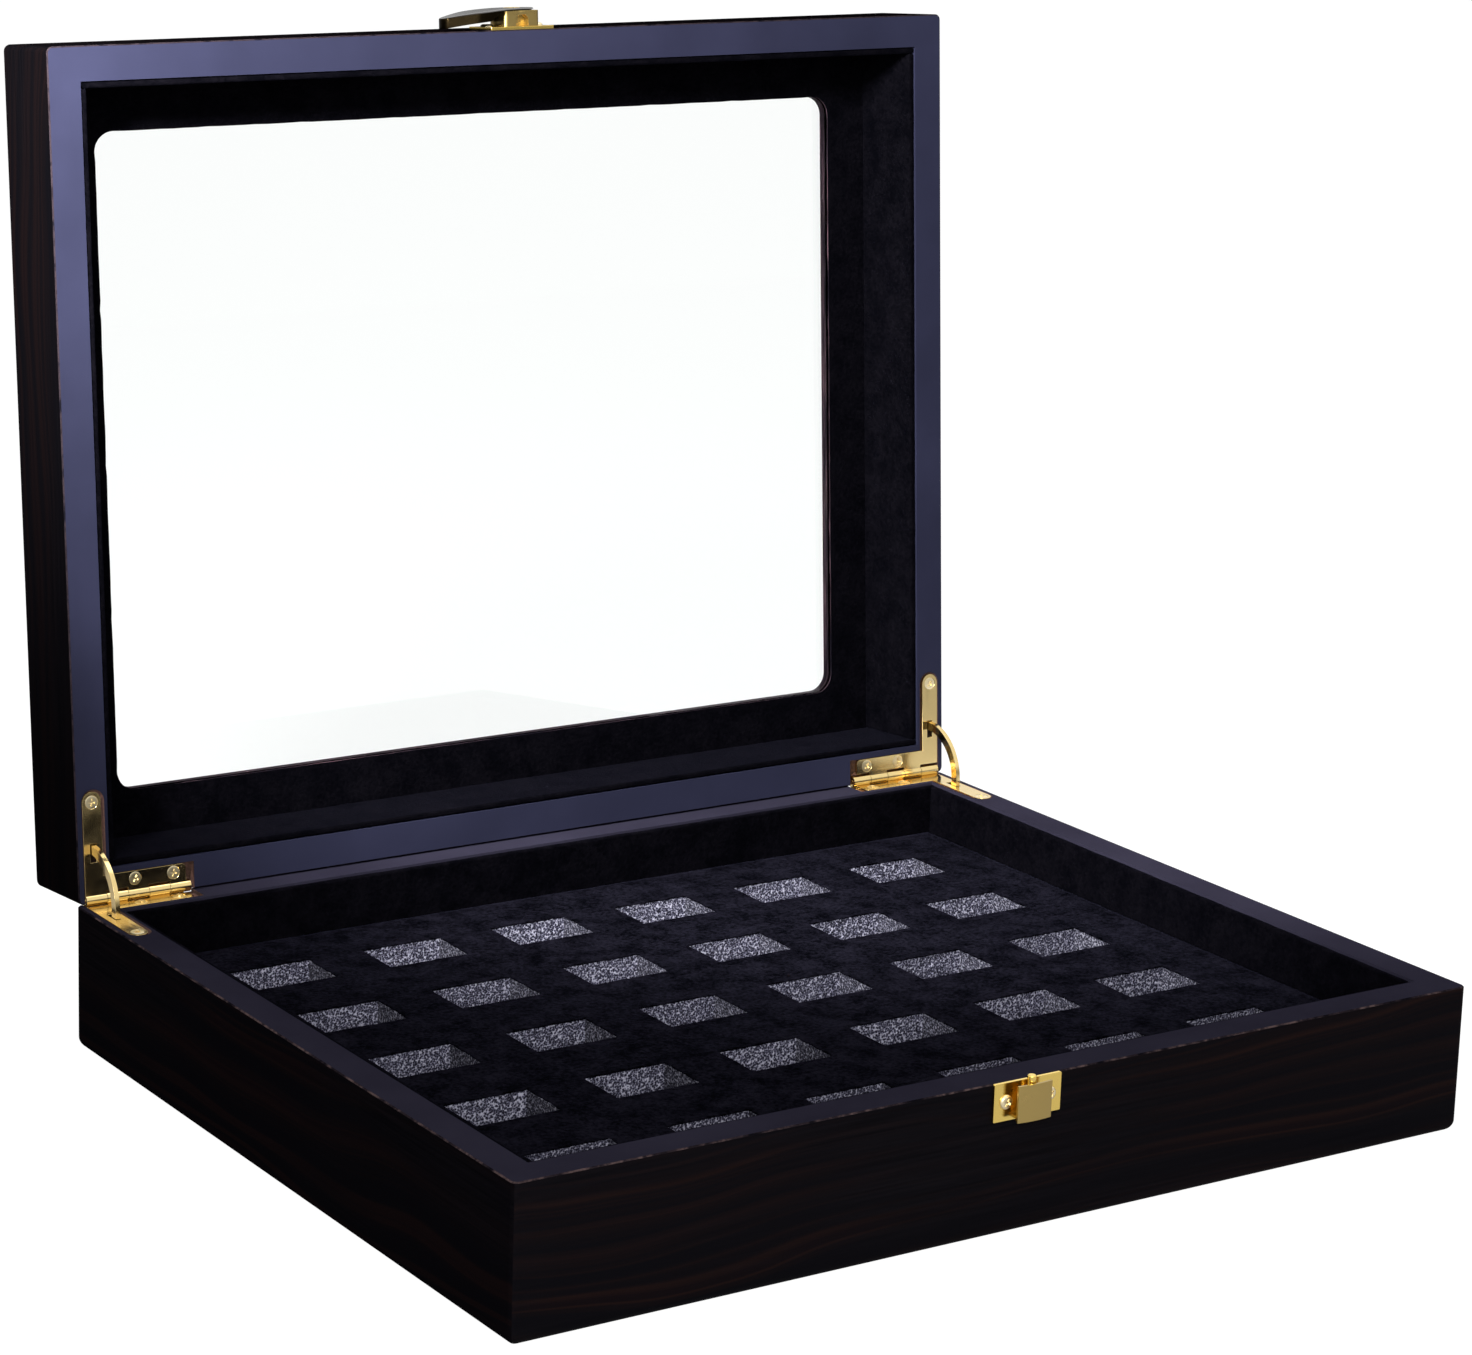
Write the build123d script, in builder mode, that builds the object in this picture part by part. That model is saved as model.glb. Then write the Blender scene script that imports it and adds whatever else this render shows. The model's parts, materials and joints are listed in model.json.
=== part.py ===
"""Ring display case: a veneered wooden box with a glazed lid, velvet linings and a slotted foam insert.

The case is drawn with its lid open, as it stands on a counter. X runs to the right, Y to the back and
Z up, in millimetres. The origin is the middle of the underside of the base.
"""

import math
import os

from build123d import *

# Box
case_width = 340.0
case_depth = 270.0
base_height = 47.0
lid_height = 34.0
wall = 11.0
corner_radius = 2.0
outer_edge_radius = 3.5
rim_gap = 0.3
rim_arris = 0.4
open_angle = 94.35

# Bottom and top of the box
bottom_panel_thickness = 4.0
felt_thickness = 1.0
felt_recess = 0.3
rebate_width = 5.0
top_panel_thickness = 3.0
top_edge_radius = 2.5
window_border = 28.4
window_corner_radius = 6.5
glass_thickness = 1.8
glass_overlap = 5.0
window_board_thickness = 2.4

# Velvet covered lining boards
lining_thickness = 2.3
lining_drop = 0.5
lining_top_radius = 0.9
fit_clearance = 0.2

# Foam insert and its slots
foam_floor = 3.0
foam_top = 29.2
velvet_thickness = 0.6
slot_columns = 6
slot_rows = 5
slot_width = 28.3
slot_length = 18.9
slot_pitch_x = 47.8
slot_pitch_y = 44.9

# Quadrant hinges
barrel_length = 37.0
barrel_radius = 2.0
barrel_set_in = 1.15
barrel_rise = 1.5
barrel_clearance = 0.15
knuckle_count = 5
knuckle_gap = 0.15
knuckle_relief = 0.8
pin_radius = 0.8
pin_clearance = 0.05
hinge_inset = 2.3
leg_width = 6.5
rear_leg_short = 1.6
side_leg_end = 36.3
leaf_thickness = 1.2
leaf_corner_radius = 1.5
leaf_clearance = 0.3
bedding_clearance = 0.02
recess_slack = 1.1
recess_overrun = 1.3
rear_screw_line = 6.3
rear_screw_spots = (17.5, 31.0)
side_screw_spot = 32.9
stay_inner_radius = 15.0
stay_outer_radius = 18.0
stay_thickness = 1.6
stay_slot_reach = 2.8
stay_slot_clearance = 0.25
stay_end_angle = 2.5
stop_pin_radius = 0.6
stop_pin_length = 4.0
stop_pin_clearance = 0.15
stop_pin_sides = 12
mortise_clearance = 0.5

# Countersunk hinge screws and pan head clasp screws
screw_head_radius = 2.2
screw_head_height = 1.1
screw_shank_radius = 0.95
screw_length = 9.0
screw_clearance = 0.05
screw_sides = 16
pilot_spare_depth = 0.5
clasp_screw_length = 8.0
clasp_screw_head_height = 0.9
clasp_screw_chamfer = 0.45

# Clasp
clasp_plate_thickness = 1.0
clasp_plate_radius = 0.4
base_plate_width = 24.0
base_plate_height = 11.5
base_plate_screw_spread = 15.6
keeper_width = 12.0
keeper_height = 11.1
keeper_drop = 0.4
keeper_standoff = 3.7
keeper_bow = 0.5
keeper_thickness = 0.8
keeper_neck_width = 8.0
peg_radius = 1.4
peg_clearance = 0.1
peg_chamfer = 0.4
peg_rise = 1.6
lid_plate_width = 24.0
lid_plate_height = 14.5
lid_plate_screw_spread = 18.8
hub_radius = 7.0
hub_height = 7.0
hub_standoff = 6.9
hub_foot_width = 13.4
hub_foot_radius = 1.5
hub_foot_gap = 0.2
arch_width = 4.6
arch_standoff = 5.4
arch_height = 2.9
lever_reach = 27.0
lever_heel = 7.2
lever_width = 17.2
lever_widest = 13.0
lever_thickness = 1.6
lever_tip_standoff = 2.8
lever_tip_radius = 4.0
lever_washer_gap = 0.7
hook_start = 9.5
hook_end = 17.0
hook_leaf = 0.9
hook_standoff = 2.4
hook_side_gap = 0.25
peg_side_gap = 0.7
rivet_radius = 1.5
rivet_clearance = 0.05
rivet_head_radius = 2.8
rivet_head_height = 0.35
rivet_shoulder_height = 0.6
rivet_chamfer = 0.2

# How far a cut runs on past the face it opens
over_cut = 1.0

# Places that follow from the sizes
half_width = case_width / 2
half_depth = case_depth / 2
inner_width = case_width - 2 * wall
inner_depth = case_depth - 2 * wall
panel_floor = felt_recess + felt_thickness
panel_top = panel_floor + bottom_panel_thickness
lid_rim = base_height + rim_gap
lid_top = lid_rim + lid_height
lid_wall_top = lid_top - top_panel_thickness
window_board_face = lid_wall_top - window_board_thickness
window_width = case_width - 2 * window_border
window_depth = case_depth - 2 * window_border
lined_width = inner_width - 2 * lining_thickness
lined_depth = inner_depth - 2 * lining_thickness
axis_y = half_depth - barrel_set_in
axis_z = base_height + barrel_rise
hinge_axis = Vector(0, axis_y, axis_z)
swing = math.radians(open_angle)
slot_floor = panel_top + foam_floor
front_face = -half_depth
pivot_z = lid_rim + hub_height
leg_centre = hinge_inset + leg_width / 2
leg_inner_edge = hinge_inset + leg_width
side_leg_straight = side_leg_end - leg_width / 2

# The open lid: its plane holds the same local places as the closed lid has in the box's own frame
turned_up = Vector(0, math.sin(swing), math.cos(swing))
turned_back = Vector(0, math.cos(swing), -math.sin(swing))
lid_origin = hinge_axis - turned_back * axis_y - turned_up * axis_z
lid_frame = Plane(origin=lid_origin, x_dir=(1, 0, 0), z_dir=turned_up)

os.makedirs("parts", exist_ok=True)


def in_frame(frame, plane):
    """The given plane, carried from the closed box into the frame of the base or of the open lid."""
    return Plane(frame.location * plane.location)


def save(piece, node):
    """Label a finished piece and write it as its own STEP file."""
    piece.label = node
    export_step(piece, f"parts/{node}.step")


def side_x(side, inward):
    """X of a point that lies the given distance in from the left (-1) or right (1) outer face."""
    return side * (half_width - inward)


def back_y(forward):
    """Y of a point that lies the given distance in front of the back outer face."""
    return half_depth - forward


def mitre_outline(wall_name):
    """Corner points of the region that one mitred wall takes up, seen from above."""
    out_x, out_y = half_width + over_cut, half_depth + over_cut
    in_x, in_y = half_width - wall - over_cut, half_depth - wall - over_cut
    regions = {
        "front": [(-out_x, -out_y), (out_x, -out_y), (in_x, -in_y), (-in_x, -in_y)],
        "back": [(out_x, out_y), (-out_x, out_y), (-in_x, in_y), (in_x, in_y)],
        "left": [(-out_x, out_y), (-out_x, -out_y), (-in_x, -in_y), (-in_x, in_y)],
        "right": [(out_x, -out_y), (out_x, out_y), (in_x, in_y), (in_x, -in_y)],
    }
    return regions[wall_name]


def front_plane(frame):
    """Plane of the front face of the base or of the lid, facing out, with the box's own X and Z in it."""
    return in_frame(frame, Plane(origin=(0, front_face, 0), x_dir=(1, 0, 0), z_dir=(0, -1, 0)))


def leaf_screw_spots(side):
    """Places of a leaf's three screws: two on the rear leg and one near the end of the side leg."""
    spots = [(side_x(side, hinge_inset + along), back_y(rear_screw_line)) for along in rear_screw_spots]
    return spots + [(side_x(side, leg_centre), back_y(side_screw_spot))]


def knuckle_spans(side):
    """Start and end of each knuckle, as distances in from the outer side face."""
    step = barrel_length / knuckle_count
    return [
        (hinge_inset + n * step + knuckle_gap / 2, hinge_inset + (n + 1) * step - knuckle_gap / 2)
        for n in range(knuckle_count)
    ]


def lid_owns(side, n):
    """Whether knuckle n belongs to the lid leaf: the right hinge is the left one turned end for end."""
    return (n % 2 == 0) == (side < 0)


def stay_angles():
    """Angles of the stay's two stop pins, down from the front, with the lid open."""
    mid_radius = (stay_inner_radius + stay_outer_radius) / 2
    under_base_leaf = barrel_rise + leaf_thickness + stop_pin_radius + stop_pin_clearance
    over_lid_leaf = leaf_thickness + rim_gap - barrel_rise + stop_pin_radius + stop_pin_clearance
    low = math.degrees(math.asin(under_base_leaf / mid_radius))
    high = math.degrees(math.asin(over_lid_leaf / mid_radius))
    return mid_radius, low, -(open_angle + high)


# Where the stay's ends reach when the lid is shut, half the swing further into each half of the box
stay_radius, stay_low, stay_high = stay_angles()
base_reach = math.radians(stay_low + open_angle / 2 + stay_end_angle)
lid_reach = math.radians(-stay_high - open_angle / 2 + stay_end_angle)
base_mortise_depth = stay_outer_radius * math.sin(base_reach) - barrel_rise + mortise_clearance
lid_mortise_depth = stay_outer_radius * math.sin(lid_reach) + barrel_rise - rim_gap + mortise_clearance
base_mortise_near = barrel_set_in + stay_inner_radius * math.cos(base_reach) - mortise_clearance
lid_mortise_near = barrel_set_in + stay_inner_radius * math.cos(lid_reach) - mortise_clearance
mortise_far = barrel_set_in + stay_outer_radius + 2 * mortise_clearance
mortise_width = stop_pin_length + 2 * stop_pin_clearance

# Beds and holes for the fittings
leaf_bed = leaf_thickness + bedding_clearance
screw_hole_depth = screw_length + pilot_spare_depth
barrel_rebate_depth = barrel_rise - rim_gap + barrel_radius + barrel_clearance
barrel_rebate_reach = barrel_set_in + barrel_radius + barrel_clearance
base_screw_z = base_height - base_plate_height / 2
lid_screw_z = lid_rim + lid_plate_height / 2
base_screw_spots = [(end * base_plate_screw_spread / 2, base_screw_z) for end in (-1, 1)]
lid_screw_spots = [(end * lid_plate_screw_spread / 2, lid_screw_z) for end in (-1, 1)]


def leaf_recess(side, plane):
    """Outline of the shallow L cut for a hinge leaf, open to the back for the barrel."""
    outer_edge = hinge_inset - leaf_clearance
    rear_end = hinge_inset + barrel_length + recess_overrun
    rear_depth = leg_inner_edge + leaf_clearance
    side_width = leg_inner_edge + recess_slack - outer_edge
    side_middle = side_x(side, outer_edge + side_width / 2)
    with BuildSketch(plane) as outline:
        with Locations((side_x(side, (outer_edge + rear_end) / 2), back_y((rear_depth - over_cut) / 2))):
            Rectangle(rear_end - outer_edge, rear_depth + over_cut)
        with Locations((side_middle, back_y(side_leg_straight / 2))):
            Rectangle(side_width, side_leg_straight)
        with Locations((side_middle, back_y(side_leg_straight))):
            Circle(side_width / 2)
    return outline.sketch


def barrel_rebate(side, plane):
    """Outline of the deeper cut along the lid's back edge that clears the hinge barrel."""
    middle = hinge_inset + barrel_length / 2
    with BuildSketch(plane) as outline:
        with Locations((side_x(side, middle), back_y((barrel_rebate_reach - over_cut) / 2))):
            Rectangle(barrel_length + 2 * leaf_clearance, barrel_rebate_reach + over_cut)
    return outline.sketch


def stay_mortise(side, plane, near):
    """Outline of the deep pocket that swallows the stay as the lid shuts."""
    with BuildSketch(plane) as outline:
        with Locations((side_x(side, leg_centre), back_y((near + mortise_far) / 2))):
            Rectangle(mortise_width, mortise_far - near)
    return outline.sketch


def holes(plane, spots, radius):
    """Screw holes of one size at a list of places."""
    with BuildSketch(plane) as outline:
        with Locations(*spots):
            RegularPolygon(radius, screw_sides)
    return outline.sketch


# The base carcase: four mitred walls with a rebate for the bottom panel
for wall_name in ("front", "back", "left", "right"):
    with BuildPart() as base_wall:
        with BuildSketch():
            RectangleRounded(case_width, case_depth, corner_radius)
        extrude(amount=base_height)
        fillet(base_wall.faces().sort_by(Axis.Z)[0].edges(), outer_edge_radius)
        chamfer(base_wall.faces().sort_by(Axis.Z)[-1].edges(), rim_arris)
        with BuildSketch():
            Rectangle(inner_width, inner_depth)
        extrude(amount=base_height, mode=Mode.SUBTRACT)
        with BuildSketch():
            Rectangle(inner_width + 2 * rebate_width, inner_depth + 2 * rebate_width)
        extrude(amount=panel_top, mode=Mode.SUBTRACT)
        with BuildSketch():
            Polygon(*mitre_outline(wall_name), align=None)
        extrude(amount=base_height, mode=Mode.INTERSECT)
        rim_plane = Plane.XY.offset(base_height)
        if wall_name == "front":
            extrude(
                holes(front_plane(Plane.XY), base_screw_spots, screw_shank_radius + screw_clearance),
                amount=-clasp_screw_length,
                mode=Mode.SUBTRACT,
            )
        else:
            for side in (-1, 1):
                extrude(leaf_recess(side, rim_plane), amount=-leaf_bed, mode=Mode.SUBTRACT)
                extrude(
                    holes(rim_plane, leaf_screw_spots(side), screw_shank_radius + screw_clearance),
                    amount=-screw_hole_depth,
                    mode=Mode.SUBTRACT,
                )
                if wall_name != "back":
                    extrude(
                        stay_mortise(side, rim_plane, base_mortise_near),
                        amount=-base_mortise_depth,
                        mode=Mode.SUBTRACT,
                    )
    save(base_wall.part, f"base_{wall_name}_wall")

with BuildPart() as bottom_panel:
    with BuildSketch(Plane.XY.offset(panel_floor)):
        Rectangle(
            inner_width + 2 * (rebate_width - fit_clearance),
            inner_depth + 2 * (rebate_width - fit_clearance),
        )
    extrude(amount=bottom_panel_thickness)
save(bottom_panel.part, "base_bottom_panel")

with BuildPart() as felt:
    with BuildSketch(Plane.XY.offset(felt_recess)):
        Rectangle(
            inner_width + 2 * (rebate_width - 2 * fit_clearance),
            inner_depth + 2 * (rebate_width - 2 * fit_clearance),
        )
    extrude(amount=felt_thickness)
save(felt.part, "base_underside_felt")


def lining_boards(frame, prefix, low, high, rolled_low):
    """Make the four velvet covered boards that line the walls of the base or the lid."""
    board_height = high - low
    for name, along_x, sign in (
        ("front", True, -1),
        ("back", True, 1),
        ("left", False, -1),
        ("right", False, 1),
    ):
        with BuildPart() as board:
            with BuildSketch(in_frame(frame, Plane.XY.offset(low))):
                if along_x:
                    middle = (0, sign * (inner_depth - lining_thickness) / 2)
                    size = (inner_width, lining_thickness)
                else:
                    middle = (sign * (inner_width - lining_thickness) / 2, 0)
                    size = (lining_thickness, lined_depth)
                with Locations(middle):
                    Rectangle(*size)
            extrude(amount=board_height)
            up = frame.z_dir if not rolled_low else -frame.z_dir
            rim_face = board.faces().sort_by(Axis((0, 0, 0), up))[-1]
            fillet(rim_face.edges().sort_by(SortBy.LENGTH)[-2:], lining_top_radius)
        save(board.part, f"{prefix}_{name}_lining")


lining_boards(Plane.XY, "base", panel_top, base_height - lining_drop, False)
lining_boards(lid_frame, "lid", lid_rim + lining_drop, window_board_face, True)

# Foam insert with its grid of ring slots, and the velvet that covers its top
foam_width = lined_width - 2 * fit_clearance
foam_depth = lined_depth - 2 * fit_clearance
with BuildPart() as foam:
    with BuildSketch(Plane.XY.offset(panel_top)):
        Rectangle(foam_width, foam_depth)
    extrude(amount=foam_top - panel_top)
    with BuildSketch(Plane.XY.offset(foam_top)):
        with GridLocations(slot_pitch_x, slot_pitch_y, slot_columns, slot_rows):
            Rectangle(slot_width, slot_length)
    extrude(amount=slot_floor - foam_top, mode=Mode.SUBTRACT)
save(foam.part, "foam_insert")

with BuildPart() as velvet:
    with BuildSketch(Plane.XY.offset(foam_top)):
        Rectangle(foam_width, foam_depth)
        with GridLocations(slot_pitch_x, slot_pitch_y, slot_columns, slot_rows):
            Rectangle(slot_width, slot_length, mode=Mode.SUBTRACT)
    extrude(amount=velvet_thickness)
save(velvet.part, "velvet_top_sheet")

# The lid carcase: four mitred walls under a top panel with a rounded window
for wall_name in ("front", "back", "left", "right"):
    with BuildPart() as lid_wall:
        rim_plane = in_frame(lid_frame, Plane.XY.offset(lid_rim))
        with BuildSketch(rim_plane):
            RectangleRounded(case_width, case_depth, corner_radius)
        extrude(amount=lid_wall_top - lid_rim)
        rim_face = lid_wall.faces().sort_by(Axis((0, 0, 0), lid_frame.z_dir))[0]
        chamfer(rim_face.edges(), rim_arris)
        with BuildSketch(rim_plane):
            Rectangle(inner_width, inner_depth)
        extrude(amount=lid_wall_top - lid_rim, mode=Mode.SUBTRACT)
        with BuildSketch(rim_plane):
            Polygon(*mitre_outline(wall_name), align=None)
        extrude(amount=lid_wall_top - lid_rim, mode=Mode.INTERSECT)
        if wall_name == "front":
            extrude(
                holes(front_plane(lid_frame), lid_screw_spots, screw_shank_radius + screw_clearance),
                amount=-clasp_screw_length,
                mode=Mode.SUBTRACT,
            )
        else:
            for side in (-1, 1):
                extrude(leaf_recess(side, rim_plane), amount=leaf_bed, mode=Mode.SUBTRACT)
                extrude(barrel_rebate(side, rim_plane), amount=barrel_rebate_depth, mode=Mode.SUBTRACT)
                extrude(
                    holes(rim_plane, leaf_screw_spots(side), screw_shank_radius + screw_clearance),
                    amount=screw_hole_depth,
                    mode=Mode.SUBTRACT,
                )
                if wall_name != "back":
                    extrude(
                        stay_mortise(side, rim_plane, lid_mortise_near),
                        amount=lid_mortise_depth,
                        mode=Mode.SUBTRACT,
                    )
    save(lid_wall.part, f"lid_{wall_name}_wall")

with BuildPart() as top_panel:
    with BuildSketch(in_frame(lid_frame, Plane.XY.offset(lid_wall_top))):
        RectangleRounded(case_width, case_depth, corner_radius)
    extrude(amount=top_panel_thickness)
    outer_face = top_panel.faces().sort_by(Axis((0, 0, 0), lid_frame.z_dir))[-1]
    fillet(outer_face.edges(), top_edge_radius)
    with BuildSketch(in_frame(lid_frame, Plane.XY.offset(lid_wall_top))):
        RectangleRounded(window_width, window_depth, window_corner_radius)
    extrude(amount=top_panel_thickness, mode=Mode.SUBTRACT)
save(top_panel.part, "lid_top_panel")

with BuildPart() as glass:
    with BuildSketch(in_frame(lid_frame, Plane.XY.offset(lid_wall_top - glass_thickness))):
        RectangleRounded(
            window_width + 2 * glass_overlap,
            window_depth + 2 * glass_overlap,
            window_corner_radius,
        )
    extrude(amount=glass_thickness)
save(glass.part, "glass_pane")

with BuildPart() as window_board:
    with BuildSketch(in_frame(lid_frame, Plane.XY.offset(window_board_face))):
        Rectangle(inner_width - fit_clearance, inner_depth - fit_clearance)
        RectangleRounded(window_width, window_depth, window_corner_radius, mode=Mode.SUBTRACT)
    extrude(amount=window_board_thickness)
    with BuildSketch(in_frame(lid_frame, Plane.XY.offset(lid_wall_top - glass_thickness))):
        RectangleRounded(
            window_width + 2 * (glass_overlap + fit_clearance),
            window_depth + 2 * (glass_overlap + fit_clearance),
            window_corner_radius + fit_clearance,
        )
    extrude(amount=glass_thickness, mode=Mode.SUBTRACT)
save(window_board.part, "window_lining_board")


def barrel_plane(side, inward):
    """Plane square to the hinge axis, the given distance in from the outer side face, facing inwards."""
    origin = (side_x(side, inward), axis_y, axis_z)
    return Plane(origin=origin, x_dir=(0, -1, 0), z_dir=(-side, 0, 0))


def hinge_leaf(side, frame, low, owned, reach_back):
    """Make an L-shaped leaf with its own knuckles, stay slot and relief for the other leaf's knuckles."""
    rear_leg_end = hinge_inset + barrel_length - rear_leg_short
    slot_near = stay_inner_radius - stay_slot_reach
    slot_far = stay_outer_radius + stay_slot_clearance
    slot_middle = barrel_set_in + (slot_near + slot_far) / 2
    with BuildPart() as leaf:
        with BuildSketch(in_frame(frame, Plane.XY.offset(low))) as outline:
            rear_y = back_y((reach_back + leg_inner_edge) / 2)
            with Locations((side_x(side, (hinge_inset + rear_leg_end) / 2), rear_y)):
                Rectangle(rear_leg_end - hinge_inset, leg_inner_edge - reach_back)
            with Locations((side_x(side, leg_centre), back_y((reach_back + side_leg_straight) / 2))):
                Rectangle(leg_width, side_leg_straight - reach_back)
            with Locations((side_x(side, leg_centre), back_y(side_leg_straight))):
                Circle(leg_width / 2)
            leg_corner = (side_x(side, rear_leg_end), back_y(leg_inner_edge))
            fillet(outline.vertices().sort_by_distance(leg_corner)[0], leaf_corner_radius)
            with Locations((side_x(side, leg_centre), back_y(slot_middle))):
                Rectangle(stay_thickness + 2 * stay_slot_clearance, slot_far - slot_near, mode=Mode.SUBTRACT)
        extrude(amount=leaf_thickness)
        for n, (start, end) in enumerate(knuckle_spans(side)):
            with BuildSketch(in_frame(frame, barrel_plane(side, start))):
                Circle(barrel_radius)
            if n in owned:
                extrude(amount=end - start)
        for n, (start, end) in enumerate(knuckle_spans(side)):
            if n not in owned:
                with BuildSketch(in_frame(frame, barrel_plane(side, start - knuckle_gap))):
                    Circle(barrel_radius + knuckle_relief)
                extrude(amount=end - start + 2 * knuckle_gap, mode=Mode.SUBTRACT)
        with BuildSketch(in_frame(frame, barrel_plane(side, hinge_inset - over_cut))):
            Circle(pin_radius + pin_clearance)
        extrude(amount=barrel_length + 2 * over_cut, mode=Mode.SUBTRACT)
    return leaf


def head_cone(head_plane, spot, depth, clearance):
    """The countersunk cone of one screw head, from the leaf's face down to the shank."""
    with BuildPart() as cone:
        with BuildSketch(head_plane):
            with Locations(spot):
                RegularPolygon(screw_head_radius + clearance, screw_sides)
        with BuildSketch(head_plane.offset(depth)):
            with Locations(spot):
                RegularPolygon(screw_shank_radius + clearance, screw_sides)
        loft(ruled=True)
    return cone


# The two quadrant hinges
for side, side_name in ((-1, "left"), (1, "right")):
    lid_owned = [n for n in range(knuckle_count) if lid_owns(side, n)]
    base_owned = [n for n in range(knuckle_count) if n not in lid_owned]
    for half, frame, low, owned, reach_back in (
        ("base", Plane.XY, base_height - leaf_thickness, base_owned, barrel_set_in),
        ("lid", lid_frame, lid_rim, lid_owned, barrel_set_in + barrel_radius / 2),
    ):
        leaf = hinge_leaf(side, frame, low, owned, reach_back)
        head_plane = in_frame(frame, Plane.XY.offset(base_height if half == "base" else lid_rim))
        sink = -1 if half == "base" else 1
        with BuildPart() as drilled_leaf:
            add(leaf.part)
            for spot in leaf_screw_spots(side):
                countersink = head_cone(head_plane, spot, sink * leaf_thickness, screw_clearance)
                add(countersink.part, mode=Mode.SUBTRACT)
        save(drilled_leaf.part, f"{side_name}_hinge_{half}_leaf")

        with BuildPart() as screws:
            for spot in leaf_screw_spots(side):
                add(head_cone(head_plane, spot, sink * screw_head_height, 0).part)
            extrude(
                holes(head_plane, leaf_screw_spots(side), screw_shank_radius), amount=sink * screw_length
            )
        save(screws.part, f"{side_name}_hinge_{half}_screws")

    with BuildPart() as pin:
        with BuildSketch(barrel_plane(side, hinge_inset)):
            Circle(pin_radius)
        extrude(amount=barrel_length)
    save(pin.part, f"{side_name}_hinge_pin")

    # The stay: a strip bent to an arc about the hinge axis, with a stop pin through each end
    stay_plane = Plane(origin=(side_x(side, leg_centre), axis_y, axis_z), x_dir=(0, -1, 0), z_dir=(-1, 0, 0))
    first = -stay_low - stay_end_angle
    last = -stay_high + stay_end_angle
    with BuildPart() as stay:
        with BuildSketch(stay_plane):
            with BuildLine():
                outer = CenterArc((0, 0), stay_outer_radius, first, last - first)
                inner = CenterArc((0, 0), stay_inner_radius, first, last - first)
                Line(outer @ 0, inner @ 0)
                Line(outer @ 1, inner @ 1)
            make_face()
        extrude(amount=stay_thickness / 2, both=True)
        with BuildSketch(stay_plane):
            with PolarLocations(stay_radius, 2, start_angle=-stay_low, angular_range=stay_low - stay_high,
                                endpoint=True):
                RegularPolygon(stop_pin_radius, stop_pin_sides)
        extrude(amount=stop_pin_length / 2, both=True)
    save(stay.part, f"{side_name}_hinge_stay")


def section_plane(frame, height):
    """Level plane at a height of the box, with X along the front and Y pointing out of the front face."""
    return in_frame(frame, Plane(origin=(0, front_face, height), x_dir=(1, 0, 0), z_dir=(0, 0, -1)))


def clasp_plate(frame, width, height, middle_z, screw_spots):
    """A thin rounded plate on the front face, drilled for its two screws."""
    with BuildPart() as plate:
        with BuildSketch(front_plane(frame)):
            with Locations((0, middle_z)):
                RectangleRounded(width, height, clasp_plate_radius)
            with Locations(*screw_spots):
                RegularPolygon(screw_shank_radius + screw_clearance, screw_sides, mode=Mode.SUBTRACT)
        extrude(amount=clasp_plate_thickness)
    return plate


def pan_screws(frame, spots):
    """Pan head screws that hold a clasp plate to the wood."""
    seat = front_plane(frame).offset(clasp_plate_thickness)
    with BuildPart() as screws:
        with BuildSketch(seat):
            with Locations(*spots):
                RegularPolygon(screw_head_radius, screw_sides)
        extrude(amount=clasp_screw_head_height)
        head_faces = screws.faces().sort_by(Axis((0, 0, 0), seat.z_dir))[-len(spots):]
        chamfer(head_faces.edges(), clasp_screw_chamfer)
        with BuildSketch(seat):
            with Locations(*spots):
                RegularPolygon(screw_shank_radius, screw_sides)
        extrude(amount=-clasp_screw_length)
    return screws


# Clasp, base half: plate, bowed keeper on its neck, guide peg and screws
base_plate_middle = base_height - base_plate_height / 2
save(
    clasp_plate(Plane.XY, base_plate_width, base_plate_height, base_plate_middle, base_screw_spots).part,
    "clasp_base_plate",
)
save(pan_screws(Plane.XY, base_screw_spots).part, "clasp_base_screws")

half_keeper = keeper_width / 2
keeper_top = base_height - keeper_drop
keeper_face = keeper_standoff + keeper_thickness
neck_top = keeper_top - keeper_height + keeper_thickness
with BuildPart() as keeper:
    with BuildSketch(section_plane(Plane.XY, keeper_top)):
        with BuildLine():
            under = ThreePointArc(
                (-half_keeper, keeper_standoff),
                (0, keeper_standoff + keeper_bow),
                (half_keeper, keeper_standoff),
            )
            over = ThreePointArc(
                (-half_keeper, keeper_face), (0, keeper_face + keeper_bow), (half_keeper, keeper_face)
            )
            Line(under @ 0, over @ 0)
            Line(under @ 1, over @ 1)
        make_face()
    extrude(amount=keeper_height)
    with BuildSketch(section_plane(Plane.XY, neck_top)):
        with Locations((0, (clasp_plate_thickness + keeper_face) / 2)):
            Rectangle(keeper_neck_width, keeper_face - clasp_plate_thickness)
    extrude(amount=keeper_thickness)
save(keeper.part, "clasp_keeper")

with BuildPart() as peg:
    with BuildSketch(section_plane(Plane.XY, base_height + peg_rise)):
        with Locations((0, clasp_plate_thickness + peg_clearance + peg_radius)):
            Circle(peg_radius)
    extrude(amount=base_height + peg_rise - neck_top)
    chamfer(peg.edges().sort_by(Axis.Z)[-1], peg_chamfer)
save(peg.part, "clasp_peg")

# Clasp, lid half: plate, hub with the arch that receives the peg, screws, lever and rivet
lid_plate_middle = lid_rim + lid_plate_height / 2
save(
    clasp_plate(lid_frame, lid_plate_width, lid_plate_height, lid_plate_middle, lid_screw_spots).part,
    "clasp_lid_plate",
)
save(pan_screws(lid_frame, lid_screw_spots).part, "clasp_lid_screws")

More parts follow.
